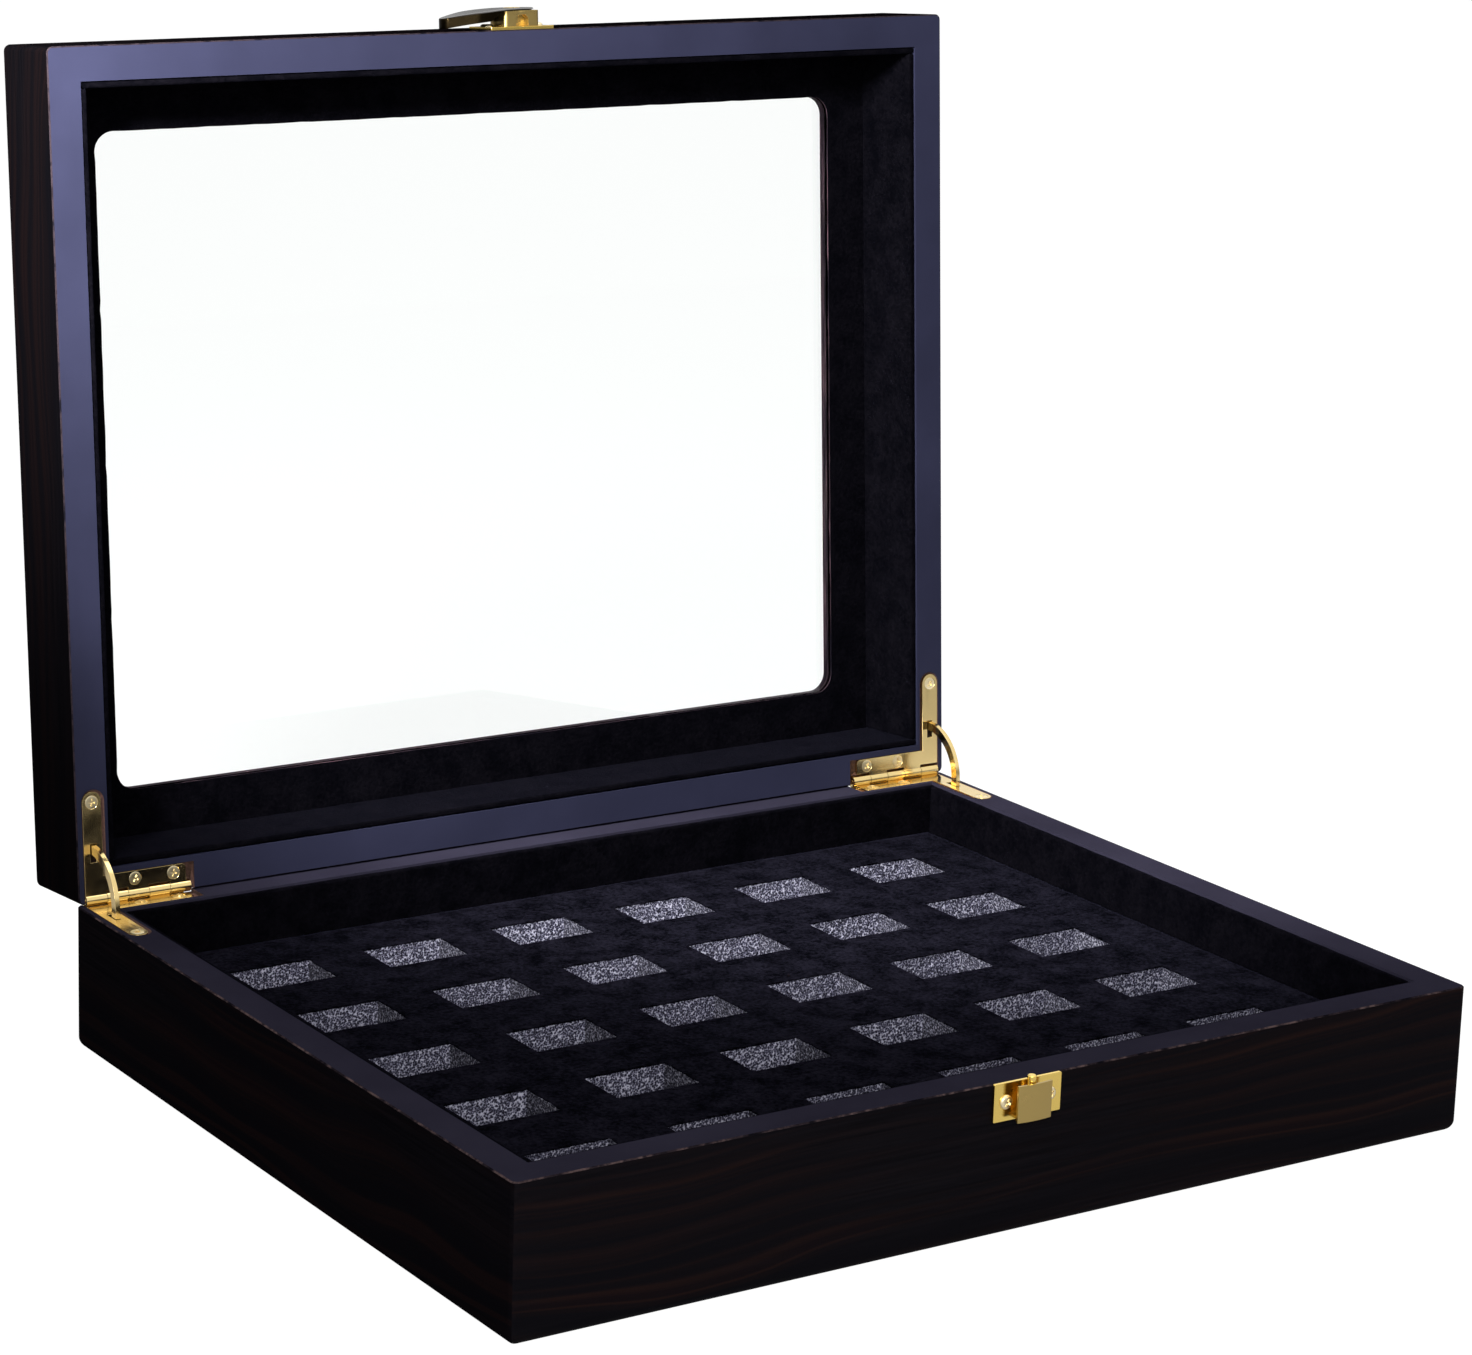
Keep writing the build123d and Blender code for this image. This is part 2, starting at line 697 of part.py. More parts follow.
lid_front = front_plane(lid_frame)
hub_foot = lid_rim + hub_foot_gap
with BuildPart() as hub:
    with BuildSketch(lid_front.offset(clasp_plate_thickness)):
        with Locations((0, pivot_z)):
            Circle(hub_radius)
        with Locations((0, (hub_foot + pivot_z) / 2)):
            RectangleRounded(hub_foot_width, pivot_z - hub_foot, hub_foot_radius)
    extrude(amount=hub_standoff - clasp_plate_thickness)
    with BuildSketch(section_plane(lid_frame, lid_rim)):
        crown = arch_standoff - arch_width / 2
        with Locations((0, crown)):
            Circle(arch_width / 2)
        with Locations((0, (clasp_plate_thickness + crown) / 2)):
            Rectangle(arch_width, crown - clasp_plate_thickness)
    extrude(amount=-arch_height, mode=Mode.SUBTRACT)
save(hub.part, "clasp_hub")

lever_root = hub_standoff + lever_washer_gap
lever_bow_radius = (lever_reach**2 + (lever_root - lever_tip_standoff) ** 2) / (
    2 * (lever_root - lever_tip_standoff)
)


def lever_underside(along):
    """Standoff of the lever's underside at a distance from its pivot."""
    return lever_root - lever_bow_radius + math.sqrt(lever_bow_radius**2 - along**2)


with BuildPart() as lever:
    with BuildSketch(section_plane(lid_frame, pivot_z)):
        with BuildLine():
            half_reach = lever_reach / 2
            under = ThreePointArc(
                (0, lever_root),
                (-half_reach, lever_underside(half_reach)),
                (-lever_reach, lever_tip_standoff),
            )
            over = ThreePointArc(
                (0, lever_root + lever_thickness),
                (-half_reach, lever_underside(half_reach) + lever_thickness),
                (-lever_reach, lever_tip_standoff + lever_thickness),
            )
            Line(under @ 1, over @ 1)
            heel_under = Line((lever_heel, lever_root), under @ 0)
            heel_over = Line((lever_heel, lever_root + lever_thickness), over @ 0)
            Line(heel_under @ 0, heel_over @ 0)
        make_face()
    extrude(amount=lever_width, both=True)
    with BuildSketch(lid_front):
        with Locations((0, pivot_z)):
            Circle(lever_heel)
        with Locations((-lever_widest, pivot_z)):
            Circle(lever_width / 2)
        with Locations((-(lever_reach - lever_tip_radius), pivot_z)):
            Circle(lever_tip_radius)
        make_hull()
    extrude(amount=2 * lever_root, mode=Mode.INTERSECT)
    hook_edge = half_keeper + hook_side_gap
    with BuildSketch(section_plane(lid_frame, pivot_z + hook_edge)):
        with BuildLine():
            Polyline(
                (-hook_start, hook_standoff),
                (-hook_start, lever_underside(hook_start) + lever_thickness / 2),
                (-hook_end, lever_underside(hook_end) + lever_thickness / 2),
                (-hook_end, hook_standoff),
                close=True,
            )
        make_face()
    extrude(amount=-hook_leaf)
    with BuildSketch(lid_front.offset(hook_standoff)):
        foot_low = peg_radius + peg_side_gap
        foot_high = hook_edge + hook_leaf
        with Locations((-(hook_start + hook_end) / 2, pivot_z + (foot_low + foot_high) / 2)):
            Rectangle(hook_end - hook_start, foot_high - foot_low)
    extrude(amount=hook_leaf)
    with BuildSketch(lid_front):
        with Locations((0, pivot_z)):
            Circle(rivet_radius + rivet_clearance)
    extrude(amount=2 * lever_root, mode=Mode.SUBTRACT)
save(lever.part, "clasp_lever")

with BuildPart() as rivet:
    with BuildSketch(lid_front.offset(hub_standoff)):
        with Locations((0, pivot_z)):
            Circle(rivet_radius)
    rivet_grip = lever_washer_gap + lever_thickness + lever_washer_gap - rivet_shoulder_height
    extrude(amount=rivet_grip)
    with BuildSketch(lid_front.offset(hub_standoff)):
        with Locations((0, pivot_z)):
            Circle(rivet_head_radius)
    extrude(amount=rivet_shoulder_height)
    with BuildSketch(lid_front.offset(hub_standoff + rivet_grip)):
        with Locations((0, pivot_z)):
            Circle(rivet_head_radius)
    extrude(amount=rivet_head_height)
    head_face = rivet.faces().sort_by(Axis((0, 0, 0), lid_front.z_dir))[-1]
    chamfer(head_face.edges(), rivet_chamfer)
save(rivet.part, "clasp_rivet")
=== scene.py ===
"""Looks of a ring display case in macassar ebony veneer, with lacquered rims, velvet, cut foam and gold fittings.

Lengths are metres in the part's own frame, and MM turns millimetres into metres. Pieces of the lid are
shaped where the shut lid would hold them and are then turned up with it, so that one set of sizes and
patterns serves the base and the lid.
"""

import json
import logging
import math
from dataclasses import dataclass
from enum import Enum

import bmesh
import bpy
from mathutils import Matrix, Vector, noise


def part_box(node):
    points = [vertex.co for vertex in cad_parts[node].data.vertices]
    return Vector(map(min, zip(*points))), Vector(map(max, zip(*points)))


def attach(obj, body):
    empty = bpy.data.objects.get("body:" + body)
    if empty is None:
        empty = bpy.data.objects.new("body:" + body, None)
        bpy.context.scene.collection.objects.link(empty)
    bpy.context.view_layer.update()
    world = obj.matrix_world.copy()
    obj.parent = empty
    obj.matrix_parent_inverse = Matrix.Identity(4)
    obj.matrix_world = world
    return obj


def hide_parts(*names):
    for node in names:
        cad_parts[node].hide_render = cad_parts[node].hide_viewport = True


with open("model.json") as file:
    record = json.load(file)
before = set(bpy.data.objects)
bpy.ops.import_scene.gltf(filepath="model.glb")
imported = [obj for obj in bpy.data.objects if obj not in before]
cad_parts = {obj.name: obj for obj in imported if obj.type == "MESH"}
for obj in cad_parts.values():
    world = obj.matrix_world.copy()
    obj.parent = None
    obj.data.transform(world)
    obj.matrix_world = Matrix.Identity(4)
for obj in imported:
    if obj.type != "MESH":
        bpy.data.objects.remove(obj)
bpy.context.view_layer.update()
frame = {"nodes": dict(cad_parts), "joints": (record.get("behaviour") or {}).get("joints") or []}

MM = 0.001
LOG = logging.getLogger("ring_case")
LEVEL = 0.9  # a face counts as level where the upright part of its normal is larger than this

JOINTS = {joint["name"]: joint for joint in frame["joints"]}
HINGE_POINT = Vector(JOINTS["lid_hinge"]["pos_m"])
OPEN_ANGLE = math.radians(JOINTS["lid_hinge"]["range_deg"][1])
TURN_UP = (
    Matrix.Translation(HINGE_POINT)
    @ Matrix.Rotation(-OPEN_ANGLE, 4, "X")
    @ Matrix.Translation(-HINGE_POINT)
)


class Half(Enum):
    """Which half of the box a piece belongs to."""

    BASE = "base"
    LID = "lid"

    @property
    def turn(self) -> Matrix:
        """Matrix from the shut box to where this half stands at rest."""
        return TURN_UP if self is Half.LID else Matrix.Identity(4)


class Grain(Enum):
    """Direction in which the veneer's stripes run on the shut box."""

    ACROSS_FRONT = 0.0
    FRONT_TO_BACK = 90.0


def linear(hex_colour: str) -> tuple[float, float, float, float]:
    """Turn an sRGB hex colour into linear values.

    Args:
        hex_colour: six hex digits after a hash.

    Returns:
        Linear red, green, blue and an alpha of one.
    """
    parts = [int(hex_colour[i : i + 2], 16) / 255 for i in (1, 3, 5)]
    return tuple(p / 12.92 if p <= 0.04045 else ((p + 0.055) / 1.055) ** 2.4 for p in parts) + (1.0,)


def per_metre(size_mm: float) -> float:
    """Repeats of a pattern in one metre for a real size in millimetres, as a whole number."""
    return float(round(1 / (size_mm * MM)))


def feed(tree: bpy.types.NodeTree, node: bpy.types.Node, inputs: dict) -> None:
    """Set a node's inputs to values, or link them.

    Args:
        tree: the node tree that holds the node.
        node: the node.
        inputs: socket name or number to a value, or to an output socket to link from.
    """
    for key, value in inputs.items():
        if isinstance(value, bpy.types.NodeSocket):
            tree.links.new(value, node.inputs[key])
        else:
            node.inputs[key].default_value = value


def add_node(
    tree: bpy.types.NodeTree, kind: str, inputs: dict | None = None, **settings: object
) -> bpy.types.Node:
    """Add a node with its settings, and set or link its inputs.

    Args:
        tree: the node tree that gets the node.
        kind: the node's Blender type.
        inputs: socket name or number to a value, or to an output socket to link from.
        settings: attributes of the node itself.

    Returns:
        The new node.
    """
    node = tree.nodes.new(kind)
    for key, value in settings.items():
        setattr(node, key, value)
    feed(tree, node, inputs or {})
    return node


def ramp_stops(node: bpy.types.Node, stops: list[tuple[float, str]]) -> bpy.types.Node:
    """Give a colour ramp its stops.

    Args:
        node: the colour ramp.
        stops: places from 0 to 1 with their hex colours, in order.

    Returns:
        The same node.
    """
    elements = node.color_ramp.elements
    while len(elements) < len(stops):
        elements.new(1.0)
    for element, (place, colour) in zip(elements, stops):
        element.position = place
        element.color = linear(colour)
    return node


def closed_box_coordinates(
    tree: bpy.types.NodeTree, half: Half, grain: Grain = Grain.ACROSS_FRONT
) -> bpy.types.NodeSocket:
    """Object coordinates as on the shut box, turned so that X runs along the grain.

    Args:
        tree: the material's tree.
        half: the half of the box that the piece is on.
        grain: the direction of the stripes.

    Returns:
        The vector output socket.
    """
    coordinates = add_node(tree, "ShaderNodeTexCoord")
    tilt = OPEN_ANGLE if half is Half.LID else 0.0
    turned = add_node(
        tree,
        "ShaderNodeMapping",
        {"Vector": coordinates.outputs["Object"], "Rotation": (tilt, 0.0, math.radians(grain.value))},
    )
    return turned.outputs["Vector"]


@dataclass(frozen=True)
class Finish:
    """A surface finish that makes one material; each kind of finish sets up its own shader."""

    name: str
    half: Half = Half.BASE

    def material(self) -> bpy.types.Material:
        """Make the material, or return the one made before under the same name."""
        made = bpy.data.materials.get(self.name)
        if made:
            return made
        made = bpy.data.materials.new(self.name)
        made.use_nodes = True
        shader = made.node_tree.nodes["Principled BSDF"]
        self.dress(made.node_tree, shader)
        return made

    def dress(self, tree: bpy.types.NodeTree, shader: bpy.types.Node) -> None:
        """Set up the shader of the finish.

        Args:
            tree: the material's tree.
            shader: its Principled shader.
        """
        raise NotImplementedError


@dataclass(frozen=True)
class EbonyVeneer(Finish):
    """Macassar ebony veneer, sliced and lacquered: near black, with long red-brown stripes and arches."""

    grain: Grain = Grain.ACROSS_FRONT
    painted_light_level: float = 1.0
    polish: float = 0.0
    streak: str = "#170e0d"
    stripe_mm: float = 7.0
    wave_mm: tuple[float, float] = (200.0, 62.5)
    fibre_mm: tuple[float, float] = (45.5, 0.909)
    patch_mm: tuple[float, float] = (111.0, 25.0)
    wander_mm: float = 34.0
    arch_middle_mm: float = 30.0
    arch_level_mm: float = -6.0
    arch_flatness: float = 0.085
    lean_into_depth: float = 0.72

    def dress(self, tree: bpy.types.NodeTree, shader: bpy.types.Node) -> None:
        """Colour bands from one noise line along a warped, arched measure across the grain.

        The sizes are along and across the grain: slow waves, fibres, and patches of strong figure. Real
        fibres are too fine to show, so they are drawn almost a millimetre wide.

        Args:
            tree: the material's tree.
            shader: its Principled shader.
        """
        box = closed_box_coordinates(tree, self.half, self.grain)
        split = add_node(tree, "ShaderNodeSeparateXYZ", {"Vector": box})
        long_waves, fibre, patches = (
            add_node(
                tree,
                "ShaderNodeTexNoise",
                {
                    "Vector": add_node(
                        tree,
                        "ShaderNodeMapping",
                        {"Vector": box, "Scale": (per_metre(along), per_metre(across), per_metre(across))},
                    ).outputs["Vector"],
                    "Scale": 1.0,
                    "Detail": detail,
                    "Roughness": roughness,
                },
            ).outputs["Fac"]
            for (along, across), detail, roughness in (
                (self.wave_mm, 2.0, 0.5), (self.fibre_mm, 3.0, 0.6), (self.patch_mm, 1.0, 0.5)
            )
        )
        wander = add_node(
            tree, "ShaderNodeMath", {0: long_waves, 1: self.wander_mm * MM}, operation="MULTIPLY"
        )
        depth = add_node(
            tree, "ShaderNodeMath", {0: split.outputs["Y"], 1: self.lean_into_depth}, operation="MULTIPLY"
        )
        level = add_node(
            tree, "ShaderNodeMath", {0: split.outputs["Z"], 1: depth.outputs[0]}, operation="ADD"
        )
        level = add_node(
            tree, "ShaderNodeMath", {0: level.outputs[0], 1: self.arch_level_mm * MM}, operation="SUBTRACT"
        )
        along = add_node(
            tree, "ShaderNodeMath", {0: split.outputs["X"], 1: self.arch_middle_mm * MM}, operation="SUBTRACT"
        )
        along = add_node(
            tree, "ShaderNodeMath", {0: along.outputs[0], 1: self.arch_flatness}, operation="MULTIPLY"
        )
        arch = add_node(tree, "ShaderNodeCombineXYZ", {"X": along.outputs[0], "Y": level.outputs[0]})
        radius = add_node(tree, "ShaderNodeVectorMath", {0: arch.outputs["Vector"]}, operation="LENGTH")
        measure = add_node(
            tree, "ShaderNodeMath", {0: radius.outputs["Value"], 1: wander.outputs[0]}, operation="ADD"
        )
        band_place = add_node(
            tree, "ShaderNodeMath", {0: measure.outputs[0], 1: 1 / (self.stripe_mm * MM)}, operation="MULTIPLY"
        )
        bands = add_node(
            tree,
            "ShaderNodeTexNoise",
            {"W": band_place.outputs[0], "Scale": 1.0, "Detail": 5.0, "Roughness": 0.62},
            noise_dimensions="1D",
        )
        colour = ramp_stops(
            add_node(tree, "ShaderNodeValToRGB", {"Fac": bands.outputs["Fac"]}),
            [(0.0, "#07070a"), (0.42, "#09080b"), (0.5, "#0c090b"), (0.57, "#110b0c"), (0.63, self.streak),
             (0.7, "#0e090b"), (1.0, "#09080a")],
        )
        ground = ramp_stops(
            add_node(tree, "ShaderNodeValToRGB", {"Fac": fibre}), [(0.3, "#050507"), (0.7, "#0f0d10")]
        )
        show = add_node(
            tree,
            "ShaderNodeMapRange",
            {"Value": patches, "From Min": 0.34, "From Max": 0.62, "To Min": 0.25, "To Max": 1.0},
        )
        mixed = add_node(
            tree,
            "ShaderNodeMix",
            {"Factor": show.outputs["Result"], 6: ground.outputs["Color"], 7: colour.outputs["Color"]},
            data_type="RGBA",
        )
        # Painted light and shade: the veneer's colour is scaled by a level that is set for each face of the box.
        toned = add_node(
            tree, "ShaderNodeHueSaturation", {"Value": self.painted_light_level, "Color": mixed.outputs[2]}
        )
        pores = add_node(tree, "ShaderNodeBump", {"Height": fibre, "Strength": 0.25, "Distance": 0.04 * MM})
        feed(tree, shader, {
            "Base Color": toned.outputs["Color"], "Roughness": 0.36, "IOR": 1.5,
            "Specular IOR Level": self.polish, "Normal": pores.outputs["Normal"],
        })


@dataclass(frozen=True)
class RimLacquer(Finish):
    """Black lacquer sprayed on board and rubbed to satin, with a faint orange peel; its slate-blue grey is
    painted reflection, standing for the satin sheen that the shader itself leaves out.
    """

    colour: str = "#2d2b38"
    shade: str = "#262430"
    cloud_mm: float = 35.7
    peel_mm: float = 1.111

    def dress(self, tree: bpy.types.NodeTree, shader: bpy.types.Node) -> None:
        """A plain colour with cloudy depth, and the lacquer's orange peel as a fine relief.

        Args:
            tree: the material's tree.
            shader: its Principled shader.
        """
        box = closed_box_coordinates(tree, self.half)
        clouds, peel = (
            add_node(
                tree, "ShaderNodeTexNoise", {"Vector": box, "Scale": per_metre(size), "Detail": detail}
            ).outputs["Fac"]
            for size, detail in ((self.cloud_mm, 4.0), (self.peel_mm, 2.0))
        )
        tone = ramp_stops(
            add_node(tree, "ShaderNodeValToRGB", {"Fac": clouds}), [(0.3, self.shade), (0.7, self.colour)]
        )
        bump = add_node(tree, "ShaderNodeBump", {"Height": peel, "Strength": 0.15, "Distance": 0.03 * MM})
        feed(tree, shader, {
            "Base Color": tone.outputs["Color"], "Roughness": 0.42, "Specular IOR Level": 0.0,
            "Normal": bump.outputs["Normal"],
        })


@dataclass(frozen=True)
class VeneerEdge(Finish):
    """The cut edge of the veneer sheet, where the sanded arris shows bare pinkish-brown wood."""

    bare: str = "#5a4a49"
    chip_mm: float = 6.25

    def dress(self, tree: bpy.types.NodeTree, shader: bpy.types.Node) -> None:
        """Bare wood, broken by lacquer that has run over it.

        Args:
            tree: the material's tree.
            shader: its Principled shader.
        """
        box = closed_box_coordinates(tree, self.half)
        chips = add_node(
            tree,
            "ShaderNodeTexNoise",
            {"Vector": box, "Scale": per_metre(self.chip_mm), "Detail": 5.0, "Roughness": 0.7},
        )
        tone = ramp_stops(
            add_node(tree, "ShaderNodeValToRGB", {"Fac": chips.outputs["Fac"]}),
            [(0.38, "#0e0d12"), (0.5, "#2a2327"), (0.62, self.bare), (0.78, "#1a1519")],
        )
        feed(tree, shader, {
            "Base Color": tone.outputs["Color"], "Roughness": 0.5, "Specular IOR Level": 0.0
        })


@dataclass(frozen=True)
class WindowEdge(Finish):
    """Edges of the board and the panel round the window: thin strips, stained mauve-brown."""

    streak_mm: tuple[float, float] = (16.7, 1.111)

    def dress(self, tree: bpy.types.NodeTree, shader: bpy.types.Node) -> None:
        """Streaky stain along the edge.

        Args:
            tree: the material's tree.
            shader: its Principled shader.
        """
        box = closed_box_coordinates(tree, self.half)
        along, thick = (per_metre(size) for size in self.streak_mm)
        drawn = add_node(tree, "ShaderNodeMapping", {"Vector": box, "Scale": (along, along, thick)})
        streaks = add_node(
            tree, "ShaderNodeTexNoise", {"Vector": drawn.outputs["Vector"], "Scale": 1.0, "Detail": 4.0}
        )
        tone = ramp_stops(
            add_node(tree, "ShaderNodeValToRGB", {"Fac": streaks.outputs["Fac"]}),
            [(0.35, "#1d1922"), (0.52, "#3a2e36"), (0.68, "#5c4850")],
        )
        feed(tree, shader, {
            "Base Color": tone.outputs["Color"], "Roughness": 0.6, "Specular IOR Level": 0.02
        })


@dataclass(frozen=True)
class RawFibreboard(Finish):
    """Routed fibreboard: brown, dull and furry, as the cutter leaves it."""

    fibre_mm: float = 0.7143

    def dress(self, tree: bpy.types.NodeTree, shader: bpy.types.Node) -> None:
        """Speckled fibres in two browns, drawn coarser than they are so that they show.

        Args:
            tree: the material's tree.
            shader: its Principled shader.
        """
        box = closed_box_coordinates(tree, self.half)
        fibres = add_node(
            tree,
            "ShaderNodeTexNoise",
            {"Vector": box, "Scale": per_metre(self.fibre_mm), "Detail": 5.0, "Roughness": 0.7},
        ).outputs["Fac"]
        tone = ramp_stops(
            add_node(tree, "ShaderNodeValToRGB", {"Fac": fibres}), [(0.3, "#3a2723"), (0.7, "#6d4c42")]
        )
        fur = add_node(tree, "ShaderNodeBump", {"Height": fibres, "Strength": 0.6, "Distance": 0.1 * MM})
        feed(tree, shader, {
            "Base Color": tone.outputs["Color"], "Roughness": 0.85, "Normal": fur.outputs["Normal"]
        })


@dataclass(frozen=True)
class Velvet(Finish):
    """Short pile velvet glued to board: black, with a soft blue sheen and patches where the pile lies over."""

    pile: str = "#030305"
    brushed: str = "#0a090d"
    patch_mm: float = 9.09
    tuft_mm: float = 1.333

    def dress(self, tree: bpy.types.NodeTree, shader: bpy.types.Node) -> None:
        """Two tones of pile direction, the tufts drawn coarse enough to show, and a sheen over both.

        Args:
            tree: the material's tree.
            shader: its Principled shader.
        """
        box = closed_box_coordinates(tree, self.half)
        brushing, tufts = (
            add_node(
                tree,
                "ShaderNodeTexNoise",
                {"Vector": box, "Scale": per_metre(size), "Detail": detail, "Roughness": 0.7},
            ).outputs["Fac"]
            for size, detail in ((self.patch_mm, 6.0), (self.tuft_mm, 4.0))
        )
        blend = add_node(tree, "ShaderNodeMath", {0: brushing, 1: tufts}, operation="MULTIPLY")
        tone = ramp_stops(
            add_node(tree, "ShaderNodeValToRGB", {"Fac": blend.outputs[0]}),
            [(0.17, self.pile), (0.36, self.brushed)],
        )
        nap = add_node(tree, "ShaderNodeBump", {"Height": tufts, "Strength": 0.8, "Distance": 0.5 * MM})
        feed(tree, shader, {
            "Base Color": tone.outputs["Color"], "Roughness": 0.95, "Specular IOR Level": 0.0,
            "Sheen Weight": 0.025, "Sheen Roughness": 0.4, "Sheen Tint": linear("#8f90b8"),
            "Normal": nap.outputs["Normal"],
        })


@dataclass(frozen=True)
class CutFoam(Finish):
    """Open cell polyurethane foam, knife cut: charcoal, with pale cell walls and dark pores."""

    painted_light_level: float = 1.0
    cell_mm: float = 0.62
    dust_mm: float = 1.111

    def dress(self, tree: bpy.types.NodeTree, shader: bpy.types.Node) -> None:
        """Cells from a Voronoi pattern, drawn a little coarse so that they show.

        Args:
            tree: the material's tree.
            shader: its Principled shader.
        """
        box = closed_box_coordinates(tree, self.half)
        cells = add_node(tree, "ShaderNodeTexVoronoi", {"Vector": box, "Scale": 1 / (self.cell_mm * MM)})
        dust = add_node(
            tree,
            "ShaderNodeTexNoise",
            {"Vector": box, "Scale": per_metre(self.dust_mm), "Detail": 6.0, "Roughness": 0.75},
        )
        mixed = add_node(
            tree, "ShaderNodeMix", {"Factor": 0.5, 2: cells.outputs["Distance"], 3: dust.outputs["Fac"]}
        )
        tone = ramp_stops(
            add_node(tree, "ShaderNodeValToRGB", {"Fac": mixed.outputs[0]}),
            [(0.3, "#0c0b13"), (0.42, "#282735"), (0.55, "#67667a"), (0.66, "#c6c5d6")],
        )
        # Painted shade: a level below one darkens this copy of the foam, for walls that lie in shade.
        toned = add_node(
            tree, "ShaderNodeHueSaturation", {"Value": self.painted_light_level, "Color": tone.outputs["Color"]}
        )
        bump = add_node(
            tree, "ShaderNodeBump", {"Height": mixed.outputs[0], "Strength": 0.8, "Distance": 0.5 * MM}
        )
        feed(tree, shader, {
            "Base Color": toned.outputs["Color"], "Roughness": 0.95, "Specular IOR Level": 0.2,
            "Normal": bump.outputs["Normal"],
        })


@dataclass(frozen=True)
class WoolFelt(Finish):
    """Pressed wool felt under the base: black and matt, with loose fibres."""

    tangle_mm: float = 2.0

    def dress(self, tree: bpy.types.NodeTree, shader: bpy.types.Node) -> None:
        """Matted fibres as a noise in tone and relief.

        Args:
            tree: the material's tree.
            shader: its Principled shader.
        """
        box = closed_box_coordinates(tree, self.half)
        mat = add_node(
            tree,
            "ShaderNodeTexNoise",
            {"Vector": box, "Scale": per_metre(self.tangle_mm), "Detail": 6.0, "Distortion": 2.0},
        ).outputs["Fac"]
        tone = ramp_stops(
            add_node(tree, "ShaderNodeValToRGB", {"Fac": mat}), [(0.3, "#101013"), (0.75, "#25252b")]
        )
        bump = add_node(tree, "ShaderNodeBump", {"Height": mat, "Strength": 0.7, "Distance": 0.3 * MM})
        feed(tree, shader, {
            "Base Color": tone.outputs["Color"], "Roughness": 1.0, "Sheen Weight": 0.2,
            "Normal": bump.outputs["Normal"],
        })


@dataclass(frozen=True)
class FloatGlass(Finish):
    """Clear float glass, drawn flat: colourless, with a mirror-like surface."""

    def dress(self, tree: bpy.types.NodeTree, shader: bpy.types.Node) -> None:
        """Full transmission at the refractive index of soda-lime glass.

        Args:
            tree: the material's tree.
            shader: its Principled shader.
        """
        feed(tree, shader, {
            "Base Color": linear("#fbfdfc"), "Roughness": 0.0, "IOR": 1.5, "Transmission Weight": 1.0
        })


@dataclass(frozen=True)
class GoldBrass(Finish):
    """Brass sheet with a pale gold plating, either polished to a mirror or left satin."""

    colour: str = "#e3c98c"
    roughness: float = 0.12
    haze: float = 0.08
    wave_mm: float = 3.85

    def dress(self, tree: bpy.types.NodeTree, shader: bpy.types.Node) -> None:
        """Metal with polishing haze in its roughness and faint waviness.

        Args:
            tree: the material's tree.
            shader: its Principled shader.
        """
        box = closed_box_coordinates(tree, self.half)
        haze = add_node(
            tree, "ShaderNodeTexNoise", {"Vector": box, "Scale": per_metre(self.wave_mm), "Detail": 4.0}
        ).outputs["Fac"]
        rough = add_node(
            tree,
            "ShaderNodeMapRange",
            {
                "Value": haze,
                "From Min": 0.3,
                "From Max": 0.7,
                "To Min": self.roughness,
                "To Max": self.roughness + self.haze,
            },
        )
        waves = add_node(tree, "ShaderNodeBump", {"Height": haze, "Strength": 0.12, "Distance": 0.05 * MM})
        feed(tree, shader, {
            "Base Color": linear(self.colour), "Metallic": 1.0, "Roughness": rough.outputs["Result"],
            "Normal": waves.outputs["Normal"],
        })


# Painted reflection and shade: one black lacquer is drawn as a slate-blue grey, toned a little darker and bluer
# on the lid than on the base for how light falls on each half.
RIM_PAINTED_REFLECTION_TONES = {Half.BASE: ("#2d2b38", "#262430"), Half.LID: ("#28293b", "#222333")}
BARE_EDGE = {Half.BASE: "#5a4a49", Half.LID: "#1a1518"}
TOP_VELVET = Velvet("black_velvet_top", Half.BASE, "#010102", "#17161e")


def veneer(half: Half, grain: Grain) -> EbonyVeneer:
    """The veneer for one half of the box and one grain direction, as lit and shaded copies of one veneer: painted
    light makes the base's front the lightest, and painted shade makes the lid darker.

    Args:
        half: the half of the box.
        grain: the direction of the stripes.

    Returns:
        The finish.
    """
    name = f"macassar_ebony_{half.value}_{grain.name.lower()}"
    # Painted light and shade: one veneer is toned per face, lightest on the base's front with a stronger streak,
    # and darkest on the lid.
    if half is Half.BASE and grain is Grain.ACROSS_FRONT:
        return EbonyVeneer(name, half, grain, painted_light_level=1.5, polish=0.01)
    tone = 1.0 if half is Half.BASE else 0.6
    return EbonyVeneer(name, half, grain, painted_light_level=tone, streak="#110b0c")


def mesh_of(name: str, shape: bmesh.types.BMesh) -> bpy.types.Mesh:
    """Turn a finished shape into a mesh, and free the shape.

    Args:
        name: the mesh's name.
        shape: the shape.

    Returns:
        The mesh.
    """
    mesh = bpy.data.meshes.new(name)
    shape.to_mesh(mesh)
    shape.free()
    return mesh


def linked(name: str, data: bpy.types.ID) -> bpy.types.Object:
    """Make an object, and put it in the scene.

    Args:
        name: the object's name.
        data: the mesh, light or camera that it holds.

    Returns:
        The object.
    """
    made = bpy.data.objects.new(name, data)
    bpy.context.scene.collection.objects.link(made)
    return made


def block_between(
    shape: bmesh.types.BMesh, low: tuple[float, float, float], high: tuple[float, float, float]
) -> None:
    """Add a block to a shape.

    Args:
        shape: the mesh that gets the block.
        low: its lowest corner.
        high: its highest corner.
    """
    for vert in bmesh.ops.create_cube(shape, size=1.0)["verts"]:
        vert.co = [top if side > 0 else bottom for side, bottom, top in zip(vert.co, low, high)]


